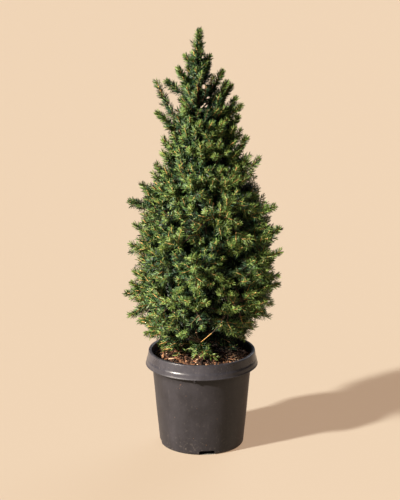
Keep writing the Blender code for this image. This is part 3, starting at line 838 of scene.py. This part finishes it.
def kept_needles(place, base, end, out, outer, light, draw):
    """Which needles are clear of the mulch, of the pot's wall and of the places where the crown is open."""
    low = np.minimum(base[:, 2], end[:, 2])
    far = np.maximum(np.hypot(base[:, 0], base[:, 1]), np.hypot(end[:, 0], end[:, 1]))
    keep = (low > SOIL_HEIGHT + 0.0015) & ~((low < POT_HEIGHT + 0.002) & (far > RIM_INSIDE - 0.003))
    half_way = 0.5 * (base + end)
    keep &= ~(in_opening(base) | in_opening(half_way) | in_opening(end))
    keep &= ~((half_way[:, 1] < 0.0) & in_opening(half_way, 1.0, BARE_TRUNK))
    # needles part along the outer side of a shoot and let its stem be seen
    front = np.clip((0.04 - place[:, 1]) / 0.04, 0.0, 1.0)[:, None]
    outside = np.einsum("ij,ij->i", out, unit_rows(outer - front * PART_TOWARDS))
    parted = draw.uniform(0.0, 1.0, len(light)) < np.where(light > 0.6, 0.62, 0.40)
    return keep & ~((outside > 0.72) & parted)


def needle_colours(light, tint, share, draw):
    """The number of each needle's colour, lighter towards the tip of a shoot."""
    total = len(light)
    glow = light + 0.28 * np.clip((share - 0.30) / 0.70, 0.0, 1.0) * (light > LIT) + 0.03
    glow = glow + draw.normal(0.0, 0.22, total)
    cool = tint + draw.normal(0.0, 0.15, total)
    lot = draw.uniform(0.0, 1.0, total)
    colour = np.full(total, SHADE)
    for index, chosen in (
        (DEEP, glow > 0.24),
        (MID, glow > 0.48),
        (BLUE, (glow > 0.40) & (glow < 0.72) & (cool > 0.55)),
        (FRESH, glow > 0.78),
        (TIP, glow > 1.03),
        (PALE, (lot < 0.09) & (glow > 0.45) & (glow < 0.95)),
        (DRY, (lot > 0.992) & (glow < 0.5)),
    ):
        colour[chosen] = index
    return colour


def join_needles(kinds, colour, normal):
    """Points, triangles, colours and normals of all kinds of needles: (which ones, corners, triangles)."""
    points, faces, colours, normals, start = [], [], [], [], 0
    for chosen, corners, triangles in kinds:
        places = np.stack(corners, axis=1)[chosen]
        first = start + len(corners) * np.arange(len(places))[:, None, None]
        points.append(places.reshape(-1, 3))
        faces.append((first + np.array(triangles)).reshape(-1, 3))
        colours.append(np.repeat(colour[chosen], len(triangles)))
        normals.append(np.repeat(normal[chosen], len(corners), axis=0))
        start += len(points[-1])
    return [np.concatenate(part) for part in (points, faces, colours, normals)]


def needle_arrays(members, draw):
    """Points, triangles, colours and normals of every needle on the given shoots."""
    root, bend, tip, light = columns(members, "root", "bend", "tip", "light")
    bare, dense, needle, tint = columns(members, "bare", "dense", "needle", "tint")
    length = np.linalg.norm(tip - root, axis=1)
    thin = np.clip(0.55 + 0.9 * light, 0.55, 1.0)
    counts = np.maximum(5, (length * NEEDLES_PER_METRE * dense * thin).astype(int))
    owner = np.repeat(np.arange(len(members)), counts)
    rank = np.arange(len(owner)) - (np.cumsum(counts) - counts)[owner]
    total = len(owner)
    light, tint = light[owner], tint[owner]
    share = (rank + draw.uniform(0.0, 1.0, total)) / counts[owner]
    share = bare[owner] + (1.0 - bare[owner]) * share
    t = share[:, None]
    place = (1 - t) ** 2 * root[owner] + 2 * t * (1 - t) * bend[owner] + t * t * tip[owner]
    along = unit_rows((1 - t) * (bend - root)[owner] + t * (tip - bend)[owner])
    side, other = square_rows(along)
    roll = rank * GOLDEN + 40.0 * tint + draw.normal(0.0, 0.3, total)
    out = side * np.cos(roll)[:, None] + other * np.sin(roll)[:, None]
    lean = np.radians(np.interp(share, *NEEDLE_LEAN) + draw.normal(0.0, 8.0, total))[:, None]
    heading = unit_rows(along * np.cos(lean) + out * np.sin(lean) + 0.10 * UP)
    size = NEEDLE_LENGTH * needle[owner] * np.interp(share, *NEEDLE_TAPER)
    size = size * draw.normal(1.0, 0.09, total)
    width = NEEDLE_WIDTH * draw.normal(1.0, 0.10, total) * np.interp(light, *NEEDLE_WIDENING)
    # the flat of a needle faces out of the crown, more or less, or along its side
    arm = place - trunk_middle(place[:, 2]).T
    arm[:, 2] = 0.02
    outer = unit_rows(arm + draw.normal(0.0, 0.008, (total, 3)))
    twist = draw.normal(0.0, BLADE_TWIST, total) + 0.5 * pi * (draw.uniform(0.0, 1.0, total) < SIDE_ON)
    twist = twist[:, None]
    facing = outer * np.cos(twist) + unit_rows(np.cross(UP, outer)) * np.sin(twist) + 0.15 * UP
    blade = unit_rows(np.cross(facing, heading))
    base = place + out * STEM_RADIUS * 0.5
    end = base + (heading + 0.06 * along) * size[:, None]
    foot = blade * (0.32 * width)[:, None]
    edge = blade * (0.5 * width)[:, None]
    shoulder = base + heading * (0.68 * size)[:, None]
    left, right = shoulder + edge, shoulder - edge
    keep = kept_needles(place, base, end, out, outer, light, draw)
    colour = needle_colours(light, tint, share, draw)
    # a needle is shaded as a rounded one: its normal leans towards the outside of its shoot
    normal = NORMAL_ROUND * (out + 0.3 * heading) + (1.0 - NORMAL_ROUND) * np.cross(heading, blade)
    normal = unit_rows(normal + draw.normal(0.0, NORMAL_JITTER, (total, 3)))
    # needles in the light have an even width and a point; those inside the crown are plain kites
    fine = keep & (light > LIT)
    kinds = (
        (fine, (base + foot, base - foot, right, left, end), ((0, 1, 2), (0, 2, 3), (3, 2, 4))),
        (keep & ~fine, (base, right, end, left), ((0, 1, 2), (0, 2, 3))),
    )
    return join_needles(kinds, colour, normal)


def stem_arrays(members):
    """Slender three-sided stems for all the shoots that need one."""
    root, bend, tip, thick = columns(members, "root", "bend", "tip", "thick")
    side, other = square_rows(unit_rows(tip - root))
    rings = []
    for place, scale in ((root, 0.85), (0.25 * root + 0.5 * bend + 0.25 * tip, 0.65)):
        for k in range(3):
            turn = tau * k / 3.0
            out = side * cos(turn) + other * sin(turn)
            rings.append(place + out * (STEM_RADIUS * scale * thick)[:, None])
    corners = []
    for k, j in neighbours(3):
        corners += [(k, j, 3 + j), (k, 3 + j, 3 + k), (3 + k, 3 + j, 6)]
    points = np.stack(rings + [tip], axis=1)
    faces = (7 * np.arange(len(members)))[:, None, None] + np.array(corners)[None]
    return points.reshape(-1, 3), faces.reshape(-1, 3)


# Name, numbers and names of its tiers, and the other CAD nodes that it takes the place of
PIECES = (
    ("needles_skirt", (0,), ("skirt",), ("spray_low_left", "spray_low_front")),
    ("needles_low", (1,), ("low",), ()),
    ("needles_middle", (2,), ("middle",), ()),
    ("needles_waist", (3,), ("waist",), ("shoot_left_middle",)),
    ("needles_shoulder", (4,), ("shoulder",), ()),
    ("needles_upper", (5,), ("upper",), ("shoot_left_high",)),
    ("needles_crest", (6, 7), ("crest", "leader"), ("shoot_left_second",)),
)


def build_foliage():
    materials = [plain_material(*look, NEEDLE_ROUGHNESS, NEEDLE_SPECULAR) for look in NEEDLE_COLOURS]
    total = 0
    for name, indices, tiers, extra in PIECES:
        members = [s for s in shoots if s.mass[0] in indices]
        draw = np.random.default_rng(SEED + indices[0])
        points, faces, colours, normals = needle_arrays(members, draw)
        made = mesh_object(name, points, faces, materials, colours)
        made.data.normals_split_custom_set_from_vertices(normals)
        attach(made, "root")
        nodes = [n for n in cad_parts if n.split("_")[0] == "foliage" and n.split("_")[1] in tiers]
        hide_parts(*sorted(nodes), *extra)
        total += len(faces)
        print(name, len(members), "shoots", len(faces), "triangles")
    print("needle triangles", total)


def build_twigs():
    stemmed = [s for s in shoots if s.stem and s.light > 0.05]
    stems = stem_arrays(stemmed)
    sprays = join_tubes([tube(resample(path, 7), respaced(radii, 7), 4) for path, radii, _ in twigs])
    points, faces = join_tubes([stems, sprays])
    # the newest wood is the lightest, and each spray is old in its inner half
    lit = columns(stemmed, "light")[0]
    stem_ages = np.repeat(np.where(lit > 0.50, 0, np.where(lit > LIT, 1, 2)), 9)
    inner = np.tile(np.concatenate((np.arange(6 * 8) // 8 < 4, np.zeros(8, bool))), len(twigs))
    spray_ages = np.where(inner, 2, np.repeat(np.array([light < 0.45 for _, _, light in twigs]), 56))
    materials = [plain_material(*look) for look in WOOD]
    made = mesh_object("twigs", points, faces, materials, np.concatenate((stem_ages, spray_ages)))
    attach(made, "root")
    print("twig triangles", len(faces))


# ---- trunk and boughs


def node_material(name, roughness, specular=0.5):
    made = plain_material(name, (0.1, 0.1, 0.1), roughness, specular)
    return made, made.node_tree, made.node_tree.nodes["Principled BSDF"]


def noise_texture(tree, scale, detail=4.0, roughness=0.55, stretch=(1.0, 1.0, 1.0)):
    place = tree.nodes.new("ShaderNodeTexCoord")
    mapping = tree.nodes.new("ShaderNodeMapping")
    texture = tree.nodes.new("ShaderNodeTexNoise")
    put(mapping, Scale=stretch)
    put(texture, Scale=scale, Detail=detail, Roughness=roughness)
    tree.links.new(place.outputs["Object"], mapping.inputs["Vector"])
    tree.links.new(mapping.outputs["Vector"], texture.inputs["Vector"])
    return texture.outputs["Fac"]


def ramp(tree, value, *stops):
    """A value turned into colours. A stop's colour may be one number, for a grey."""
    made = tree.nodes.new("ShaderNodeValToRGB")
    bar = made.color_ramp
    while len(bar.elements) < len(stops):
        bar.elements.new(0.5)
    for element, (place, colour) in zip(bar.elements, stops):
        element.position = place
        element.color = (*(colour if isinstance(colour, tuple) else (colour,) * 3), 1.0)
    tree.links.new(value, made.inputs["Fac"])
    return made.outputs["Color"]


def mix(tree, factor, a, b, kind="MIX"):
    made = tree.nodes.new("ShaderNodeMix")
    made.data_type = "RGBA"
    made.blend_type = kind
    for socket, value in ((made.inputs[0], factor), (made.inputs[6], a), (made.inputs[7], b)):
        if hasattr(value, "is_linked"):
            tree.links.new(value, socket)
        else:
            socket.default_value = (*value, 1.0) if isinstance(value, tuple) else value
    return made.outputs[2]


def times(tree, a, b):
    return mix(tree, 1.0, a, b, "MULTIPLY")


def bump(tree, shader, value, strength, distance):
    made = tree.nodes.new("ShaderNodeBump")
    put(made, Strength=strength, Distance=distance)
    tree.links.new(value, made.inputs["Height"])
    tree.links.new(made.outputs["Normal"], shader.inputs["Normal"])


def bark_material():
    made, tree, shader = node_material("spruce_bark", 0.85, 0.3)
    flakes = noise_texture(tree, 160.0, 6.0, 0.65, (1.0, 1.0, 0.45))
    broad = noise_texture(tree, 30.0, 3.0)
    dark, brown, pale = (0.035, 0.024, 0.017), (0.115, 0.074, 0.048), (0.230, 0.165, 0.115)
    colour = ramp(tree, flakes, (0.30, dark), (0.50, brown), (0.70, pale))
    tone = ramp(tree, broad, (0.35, (0.75, 0.70, 0.66)), (0.65, (1.15, 1.10, 1.05)))
    tree.links.new(times(tree, colour, tone), shader.inputs["Base Color"])
    bump(tree, shader, flakes, 0.7, 0.0012)
    return made


def bark_relief(place):
    scales = wobble(place * np.array((1.0, 1.0, 0.5)), 260.0, 2.0)
    return 0.10 * scales + 0.07 * wobble(place, 60.0, 7.0)


def build_wood():
    material = bark_material()
    # the rings lie closer together near the mulch, where the trunk flares
    heights = np.concatenate((np.linspace(SOIL_HEIGHT - 0.004, 0.30, 50), np.linspace(0.30, 0.955, 130)[1:]))
    path = np.array([trunk_middle(h) for h in heights])
    points, faces = tube(path, [trunk_radius(max(h, SOIL_HEIGHT)) for h in heights], 24, bark_relief)
    trunk = mesh_object("trunk_bark", points, faces, [material])
    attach(trunk, "root")
    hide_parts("trunk")

    tubes = [tube(resample(path, 26), respaced(radii, 26), 8, bark_relief) for path, radii in limbs]
    points, faces = join_tubes(tubes)
    boughs = mesh_object("boughs_bark", points, faces, [material])
    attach(boughs, "root")
    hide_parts(*sorted(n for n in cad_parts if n.startswith("bough_")))
    print("wood triangles", len(faces))


# ---- pot

POT_SEGMENTS = 240
WALL = 0.0022
BASE_RADIUS = 0.0980
WALL_DRAFT = 0.0908
BASE_ROUND = 0.0050
NOTCHES = 4
NOTCH_AZIMUTH = -83.1
NOTCH_DEPTH = (0.0850, 0.1200)
# In the base, as (sideways, height)
NOTCH_OUTLINE = (
    (-0.0200, -0.002), (0.0200, -0.002), (0.0174, 0.0078),
    (0.0156, 0.0102), (-0.0156, 0.0102), (-0.0174, 0.0078),
)
RIBS = 4
RIB_AZIMUTH = -97.6
RIB_HALF_WIDTH = 0.00175
# Between the wall and the collar, as (radius, height)
RIB_OUTLINE = (
    (0.1140, 0.1858), (0.1262, 0.1858), (0.1284, 0.1937),
    (0.1262, 0.2040), (0.1222, 0.2150), (0.1165, 0.2150),
)
DRAINS = 8
DRAIN_CIRCLE = 0.0760
DRAIN_RADIUS = 0.006
DRAIN_HEIGHTS = (0.0060, 0.0150)


def wall_outside(height):
    return BASE_RADIUS + WALL_DRAFT * (height - BASE_ROUND)


def rounding(centre_r, centre_z, radius, start, end, steps):
    turns = np.radians(np.linspace(start, end, steps + 1))
    return [(centre_r + radius * cos(a), centre_z + radius * sin(a)) for a in turns]


def straight(first, last, steps):
    """Points between two corners of a section, without the corners."""
    shares = np.linspace(0.0, 1.0, steps + 2)[1:-1]
    return [(first[0] + (last[0] - first[0]) * t, first[1] + (last[1] - first[1]) * t) for t in shares]


def pot_section():
    """(radius, height) round the pot's section, from the middle of its underside to the middle inside."""
    under = [(0.0, 0.0), (0.0535, 0.0), (0.0545, 0.0006), (0.0600, 0.0095), (0.0893, 0.0095), (0.0895, 0.0)]
    base = rounding(BASE_RADIUS - BASE_ROUND, BASE_ROUND, BASE_ROUND, -90, 0, 7)
    wall_top = (wall_outside(0.2195), 0.2195)
    wall = straight(base[-1], wall_top, 26) + [wall_top]
    behind = [(wall_top[0] + 0.0018, 0.2232), (0.1213, 0.2212), (0.1242, 0.2040), (0.1274, 0.1942)]
    bead = rounding(0.1287, 0.1939, 0.0014, 180, 420, 11)
    collar = [
        (0.1290, 0.1962), (0.1287, 0.1980), (0.1281, 0.2030), (0.12790, 0.2040), (0.12755, 0.2049),
        (0.12710, 0.2058), (0.12665, 0.2067), (0.12630, 0.2077), (0.12602, 0.2088), (0.12582, 0.2100),
    ]
    lip = rounding(0.1214, 0.2245, 0.0023, 6, 90, 6)
    collar += straight(collar[-1], lip[0], 4) + lip
    inner_lip = rounding(wall_outside(0.2245) - WALL + 0.0023, 0.2245, 0.0023, 90, 180, 4)
    inside_low = (wall_outside(0.0141) - WALL, 0.0141)
    inside = straight(inner_lip[-1], inside_low, 8) + [inside_low]
    pot_floor = [(0.0944, 0.0119), (0.0600, 0.0119), (0.0540, 0.0024), (0.0, 0.0024)]
    return under + base + wall + behind + bead + collar + inner_lip + inside + pot_floor


def turned_mesh(section, segments):
    """A section that starts and ends on the upright axis, turned about it."""
    bm = bmesh.new()
    turns = tau * np.arange(segments) / segments
    rings = []
    for radius, height in section:
        ring = turns if radius else turns[:1]
        rings.append([bm.verts.new((radius * cos(a), radius * sin(a), height)) for a in ring])
    for low, high in zip(rings, rings[1:]):
        for i, j in neighbours(segments):
            corners = (low[i % len(low)], low[j % len(low)], high[j % len(high)], high[i % len(high)])
            bm.faces.new(list(dict.fromkeys(corners)))
    return bm


def corner(azimuth, outwards, sideways, height):
    """A place given by its distance outwards along an azimuth in degrees and sideways from it."""
    way = Vector((cos(radians(azimuth)), sin(radians(azimuth)), 0.0))
    return way * outwards + Vector((-way.y, way.x, 0.0)) * sideways + Vector((0.0, 0.0, height))


def add_block(bm, rings, turned=False):
    """A solid between two rings of corners. turned is for rings that go round the other way."""
    first, last = ([bm.verts.new(place) for place in ring] for ring in rings)
    bm.faces.new(first[::-1] if turned else first)
    bm.faces.new(last if turned else last[::-1])
    for i, j in neighbours(len(first)):
        i, j = (j, i) if turned else (i, j)
        bm.faces.new((first[j], first[i], last[i], last[j]))


def object_of(name, bm, material=None):
    bmesh.ops.recalc_face_normals(bm, faces=bm.faces[:])
    mesh = bpy.data.meshes.new(name)
    bm.to_mesh(mesh)
    bm.free()
    if material:
        mesh.materials.append(material)
    return new_object(name, mesh)


def pot_material():
    made, tree, shader = node_material("nursery_plastic", 0.42, 0.3)
    place = tree.nodes.new("ShaderNodeTexCoord")
    parts = tree.nodes.new("ShaderNodeSeparateXYZ")
    tree.links.new(place.outputs["Object"], parts.inputs[0])
    height = parts.outputs["Z"]
    broad = noise_texture(tree, 22.0, 4.0, 0.6)
    streaks = noise_texture(tree, 55.0, 4.0, 0.6, (1.0, 1.0, 0.10))
    grain = noise_texture(tree, 1400.0, 2.0, 0.5)
    plastic = ramp(tree, broad, (0.30, (0.0315, 0.0292, 0.0350)), (0.70, (0.0525, 0.0488, 0.0580)))
    plastic = times(tree, plastic, ramp(tree, streaks, (0.35, 0.90), (0.65, 1.12)))
    # painted light: the collar is painted lighter than the wall as a painted sheen, and a band of the wall
    # just under the collar is painted darker as painted shade
    collar_sheen_and_band_shade = ramp(tree, height, (0.173, 0.51), (0.181, 0.33), (0.190, 0.28), (0.196, (1.02, 1.06, 1.07)))
    plastic = times(tree, plastic, collar_sheen_and_band_shade)
    # dust lies in scuffs, most of it low down and just under the collar
    scuffs = ramp(tree, noise_texture(tree, 150.0, 6.0, 0.7), (0.56, 0.0), (0.74, 1.0))
    low = ramp(tree, height, (0.0, 0.42), (0.05, 0.10), (0.17, 0.07), (0.205, 0.22), (0.23, 0.18))
    dust = times(tree, scuffs, low)
    colour = mix(tree, dust, plastic, (0.260, 0.225, 0.190))
    # a few round flecks of mud
    flecks = tree.nodes.new("ShaderNodeTexVoronoi")
    put(flecks, Scale=62.0)
    tree.links.new(place.outputs["Object"], flecks.inputs["Vector"])
    spot = ramp(tree, flecks.outputs["Distance"], (0.055, 1.0), (0.085, 0.0))
    chosen = ramp(tree, noise_texture(tree, 34.0, 1.0), (0.68, 0.0), (0.72, 0.85))
    colour = mix(tree, times(tree, spot, chosen), colour, (0.420, 0.330, 0.230))
    tree.links.new(colour, shader.inputs["Base Color"])
    # the collar, moulded against polished steel, is glossier than the wall
    rough = ramp(tree, broad, (0.30, 0.40), (0.70, 0.54))
    rough = times(tree, rough, ramp(tree, height, (0.195, 1.0), (0.200, 0.62)))
    tree.links.new(mix(tree, dust, rough, (0.85, 0.85, 0.85)), shader.inputs["Roughness"])
    bump(tree, shader, grain, 0.10, 0.0004)
    return made


def build_pot():
    bm = turned_mesh(pot_section(), POT_SEGMENTS)
    for vertex in bm.verts:
        radius = vertex.co.xy.length
        if radius > 0.09 and vertex.co.z > 0.012:
            # thin plastic that isn't quite round
            a = atan2(vertex.co.y, vertex.co.x)
            shift = 0.00035 * sin(2.0 * a + 0.7) + 0.00045 * wobble(vertex.co * 0.6, 26.0, 4.0)
            vertex.co.xy *= 1.0 + shift * min(1.0, (vertex.co.z - 0.012) / 0.05) / radius
    pot = object_of("pot_shell", bm, pot_material())
    cut_openings(pot)
    add_ribs(pot.data)
    pot.data.shade_smooth()
    pot.data.set_sharp_from_angle(angle=radians(32))
    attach(pot, "root")
    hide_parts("pot")


def cut_openings(pot):
    """The notches in the pot's foot and the drain holes in its floor."""
    cutters = bmesh.new()
    for i in range(NOTCHES):
        turn = NOTCH_AZIMUTH + 90.0 * i
        add_block(cutters, [[corner(turn, out, *place) for place in NOTCH_OUTLINE] for out in NOTCH_DEPTH])
    circle = [(DRAIN_RADIUS * cos(a), DRAIN_RADIUS * sin(a)) for a in tau * np.arange(24) / 24]
    for i in range(DRAINS):
        x, y, _ = corner(45.0 * (i + 0.5), DRAIN_CIRCLE, 0.0, 0.0)
        rings = [[(x + dx, y + dy, height) for dx, dy in circle] for height in DRAIN_HEIGHTS]
        add_block(cutters, rings, turned=True)
    cutter = object_of("pot_cutter", cutters)
    modifier = pot.modifiers.new("openings", "BOOLEAN")
    modifier.operation = "DIFFERENCE"
    modifier.solver = "EXACT"
    modifier.object = cutter
    bpy.context.view_layer.update()
    shaped = bpy.data.meshes.new_from_object(pot.evaluated_get(bpy.context.evaluated_depsgraph_get()))
    pot.modifiers.clear()
    pot.data = shaped
    bpy.data.objects.remove(cutter, do_unlink=True)


def add_ribs(mesh):
    """The webs that hold the collar to the wall."""
    ribs = bmesh.new()
    ribs.from_mesh(mesh)
    for i in range(RIBS):
        turn = RIB_AZIMUTH + 90.0 * i
        sides = (-RIB_HALF_WIDTH, RIB_HALF_WIDTH)
        add_block(ribs, [[corner(turn, radius, side, z) for radius, z in RIB_OUTLINE] for side in sides])
    bmesh.ops.recalc_face_normals(ribs, faces=ribs.faces[:])
    ribs.to_mesh(mesh)
    ribs.free()


# ---- soil

CHIPS = 1900
CHIP_SHAPES = 12
CHIP_SIZE = (0.5, 0.17, 0.07)
CHIP_ROUGHNESS = 0.85
CHIP_SPECULAR = 0.25
CHIP_COLOURS = (
    ("chip_black", (0.022, 0.013, 0.010)),
    ("chip_dark", (0.060, 0.029, 0.018)),
    ("chip_brown", (0.125, 0.058, 0.031)),
    ("chip_red", (0.200, 0.090, 0.046)),
    ("chip_orange", (0.310, 0.165, 0.085)),
    ("chip_tan", (0.520, 0.350, 0.225)),
)
# Shares of the colours, and those of most of the chips on the right, which are painted paler as painted light
# for the sun on that part of the mulch
CHIP_SHARES = (0.28, 0.24, 0.21, 0.15, 0.07, 0.05)
CHIP_SHARES_PAINTED_SUNLIT = (0.08, 0.08, 0.16, 0.20, 0.30, 0.18)
PAINTED_SUNLIT_FROM = 0.035
PAINTED_SUNLIT_CHANCE = 0.75
# Specks of mulch stuck to the pot's wall: azimuth in degrees, height, length, colour
SPECKS = scaled(
    (
        (-137.0, 1610, 30, 5), (-115.5, 1740, 30, 4), (-113.0, 1700, 22, 5), (-117.0, 1655, 24, 4),
        (-121.0, 1640, 20, 3), (-109.0, 1480, 18, 4), (-96.0, 1180, 20, 4), (-126.0, 880, 18, 3),
        (-71.0, 900, 20, 4), (-101.0, 420, 20, 4), (-58.0, 1330, 18, 3), (-84.0, 260, 24, 4),
        (52.0, 1500, 24, 4), (148.0, 700, 26, 4), (12.0, 1150, 20, 3),
    ),
    1, 10000, 10000, 1,
)
# Long slivers of bark on top of the mulch: x, y, length, heading and pitch in degrees, colour
SLIVERS = scaled(
    (
        (-69, -40, 18, 8, 3, 5), (-11, -49, 15, 52, 14, 5), (-44, -8, 22, -4, 4, 4),
        (-36, -14, 16, 12, 3, 5), (-50, -62, 14, 60, 10, 4), (-20, -82, 14, -20, 4, 3),
        (13, -83, 13, 30, 5, 4), (56, -15, 15, 10, 4, 5), (70, -25, 11, 40, 8, 5),
        (71, -48, 12, -30, 8, 4), (85, -30, 13, 65, 5, 4), (-80, -20, 12, 30, 5, 4),
        (30, 60, 18, 25, 4, 5), (-40, 70, 16, -50, 5, 4), (76, 48, 17, 80, 4, 5), (-85, 35, 15, 15, 6, 5),
    ),
    1000, 1000, 1000, 1, 1, 1,
)
SLIVER_LIFT = 0.0045
SOIL_RIM = 0.1142
# The outside of the bed: the height at which the pot's wall is as wide, and its own height
BED_SIDES = ((0.0142, 0.0146), (0.2095, 0.2085))


def soil_level(x, y):
    """Height of the mulch: uneven, and a little lower by the pot's wall."""
    distance = hypot(x, y)
    uneven = 0.0016 * noise.noise(Vector((x * 60.0, y * 60.0, 3.0)))
    level = SOIL_HEIGHT - 0.0030 * smooth_step((distance - 0.085) / 0.03)
    return level - 0.0010 + uneven * smooth_step(distance / 0.03)


def soil_material():
    made, tree, shader = node_material("bark_fines", 0.95, 0.2)
    fine = noise_texture(tree, 380.0, 5.0, 0.7)
    black, dark, brown = (0.007, 0.004, 0.003), (0.026, 0.013, 0.008), (0.080, 0.040, 0.022)
    tree.links.new(ramp(tree, fine, (0.35, black), (0.55, dark), (0.72, brown)), shader.inputs["Base Color"])
    bump(tree, shader, fine, 0.8, 0.0015)
    return made


def turned_rows(heading, pitch, roll, thick):
    """The three axes of a chip that points a way, as rows, with its width and thickness scaled."""
    ch, sh, cp, sp, cr, sr = (f(a) for a in (heading, pitch, roll) for f in (cos, sin))
    along = np.array((ch * cp, sh * cp, sp))
    side = np.array((-sh * cr - ch * sp * sr, ch * cr - sh * sp * sr, cp * sr))
    return np.stack((along, side * thick, np.cross(along, side) * thick))


def chip_shape(draw):
    """Points and triangles of a splinter of bark, one unit long along x."""
    bm = bmesh.new()
    for place in draw.uniform(-1.0, 1.0, (11, 3)):
        size = float(np.sum(np.abs(place) ** 3.0) ** (1.0 / 3.0))
        bm.verts.new(place / size * CHIP_SIZE)
    bmesh.ops.convex_hull(bm, input=bm.verts[:])
    bmesh.ops.delete(bm, geom=[v for v in bm.verts if not v.link_faces], context="VERTS")
    bmesh.ops.triangulate(bm, faces=bm.faces[:])
    bm.verts.index_update()
    points = np.array([v.co[:] for v in bm.verts])
    faces = np.array([[v.index for v in f.verts] for f in bm.faces])
    bm.free()
    return points, faces


def build_bed():
    """The body of the mulch inside the pot, down to its floor."""
    top = [(r, SOIL_HEIGHT) for r in np.linspace(0.0, 0.1138, 46)]
    under = [(0.0, 0.0028), (0.0536, 0.0028), (0.0596, 0.0123), (0.0938, 0.0123)]
    sides = [(wall_outside(level) - WALL - 0.0004, height) for level, height in BED_SIDES]
    bm = turned_mesh(under + sides + top[::-1], 144)
    for vertex in bm.verts:
        if abs(vertex.co.z - SOIL_HEIGHT) < 1e-6:
            x, y = vertex.co.x, vertex.co.y
            vertex.co.z = soil_level(x, y) + 0.0012 * noise.noise(Vector((x * 210.0, y * 210.0, 8.0)))
    soil = object_of("mulch_bed", bm, soil_material())
    soil.data.shade_smooth()
    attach(soil, "root")
    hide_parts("soil")


def build_chips():
    draw = np.random.default_rng(SEED + 100)
    shapes = [chip_shape(draw) for _ in range(CHIP_SHAPES)]
    parts, colours = [], []

    def add_chip(shape, rows, length, place, colour):
        points, faces = shape
        parts.append((points @ rows * length + np.array(place), faces))
        colours.append(np.full(len(faces), colour))

    for _ in range(CHIPS):
        shape = shapes[int(draw.integers(CHIP_SHAPES))]
        distance = SOIL_RIM * sqrt(draw.uniform(0.02, 0.985))
        turn = draw.uniform(0.0, tau)
        x, y = distance * cos(turn), distance * sin(turn)
        length = float(np.clip(draw.lognormal(-4.80, 0.55), 0.0026, 0.024))
        length = min(length, 1.7 * (SOIL_RIM + 0.001 - distance) + 0.003)
        heading = draw.uniform(0.0, tau)
        pitch, roll = draw.normal(0.0, 0.30), draw.normal(0.0, 0.45)
        rows = turned_rows(heading, pitch, roll, draw.uniform(0.7, 1.6))
        lift = draw.uniform(-0.0015, 0.0040)
        # painted light: most chips on the right take the paler shares, for the sun on that part of the mulch
        painted_sunlit = x > PAINTED_SUNLIT_FROM and draw.uniform() < PAINTED_SUNLIT_CHANCE
        colour = draw.choice(len(CHIP_COLOURS), p=CHIP_SHARES_PAINTED_SUNLIT if painted_sunlit else CHIP_SHARES)
        add_chip(shape, rows, length, (x, y, soil_level(x, y) + lift), colour)
    for x, y, length, heading, pitch, colour in SLIVERS:
        shape = shapes[int(draw.integers(CHIP_SHAPES))]
        rows = turned_rows(radians(heading), radians(pitch), draw.normal(0.0, 0.2), 0.85)
        add_chip(shape, rows, length, (x, y, soil_level(x, y) + SLIVER_LIFT), colour)
    for azimuth, height, length, colour in SPECKS:
        a = radians(azimuth)
        out, side = np.array((cos(a), sin(a), 0.0)), np.array((-sin(a), cos(a), 0.0))
        shape = shapes[int(draw.integers(CHIP_SHAPES))]
        place = out * (wall_outside(height) + 0.0002) + UP * height
        add_chip(shape, np.stack((side, UP, out)), length, place, colour)
    points, faces = join_tubes(parts)
    materials = [plain_material(*look, CHIP_ROUGHNESS, CHIP_SPECULAR) for look in CHIP_COLOURS]
    chips = mesh_object("bark_chips", points, faces, materials, np.concatenate(colours), smooth=False)
    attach(chips, "root")
    print("chip triangles", len(faces))


# ---- stage


def add_light(name, kind, strength, colour, way):
    """A light on the side that a way points to."""
    data = bpy.data.lights.new(name, kind)
    data.energy = strength
    data.color = colour
    light = new_object(name, data)
    light.rotation_euler = way.to_track_quat("Z", "Y").to_euler()
    return light, data


def build_floor():
    for name, radius, height, glow in FLOORS:
        bm = bmesh.new()
        bmesh.ops.create_circle(bm, cap_ends=True, segments=96, radius=radius)
        disc = object_of(name, bm, plain_material("pale_" + name, FLOOR_COLOUR, 0.85, 0.2))
        shader = disc.data.materials[0].node_tree.nodes["Principled BSDF"]
        put(shader, Emission_Color=(*FLOOR_GLOW, 1.0), Emission_Strength=glow)
        disc.location.z = height


def build_world():
    """The backdrop that the camera sees, and the much weaker light that it gives."""
    world = bpy.data.worlds.new("studio")
    world.use_nodes = True
    tree = world.node_tree
    seen = tree.nodes["Background"]
    put(seen, Color=(*BACKDROP_COLOUR, 1.0), Strength=1.0)
    cast = tree.nodes.new("ShaderNodeBackground")
    put(cast, Color=(*AMBIENT_COLOUR, 1.0), Strength=AMBIENT)
    ray = tree.nodes.new("ShaderNodeLightPath")
    choice = tree.nodes.new("ShaderNodeMixShader")
    outputs = (ray.outputs["Is Camera Ray"], cast.outputs[0], seen.outputs[0])
    for output, socket in zip(outputs, choice.inputs):
        tree.links.new(output, socket)
    tree.links.new(choice.outputs[0], tree.nodes["World Output"].inputs["Surface"])
    bpy.context.scene.world = world


def build_lights():
    for name, strength, softness, colour, azimuth, height in SUNS:
        way = Vector(way_at(radians(azimuth), height))
        add_light(name, "SUN", strength, colour, way)[1].angle = radians(softness)
    way = Vector(way_at(radians(SOFTBOX_AZIMUTH), SOFTBOX_HEIGHT))
    softbox, data = add_light("softbox", "AREA", SOFTBOX_POWER, SOFTBOX_COLOUR, way)
    data.shape = "SQUARE"
    data.size = SOFTBOX_SIZE
    softbox.location = Vector(SOFTBOX_TARGET) + way * SOFTBOX_DISTANCE


def build_camera():
    data = bpy.data.cameras.new("camera")
    data.lens = CAMERA_LENS
    data.sensor_width = 36.0
    data.sensor_fit = "AUTO"
    camera = new_object("camera", data)
    camera.location = CAMERA_PLACE
    camera.rotation_euler = (radians(90.0 - CAMERA_PITCH), 0.0, 0.0)
    bpy.context.scene.camera = camera
    bpy.context.scene.view_settings.view_transform = "Standard"


rng = np.random.default_rng(SEED)
grow_plant()
build_foliage()
build_twigs()
build_wood()
build_pot()
build_bed()
build_chips()
build_floor()
build_world()
build_lights()
build_camera()
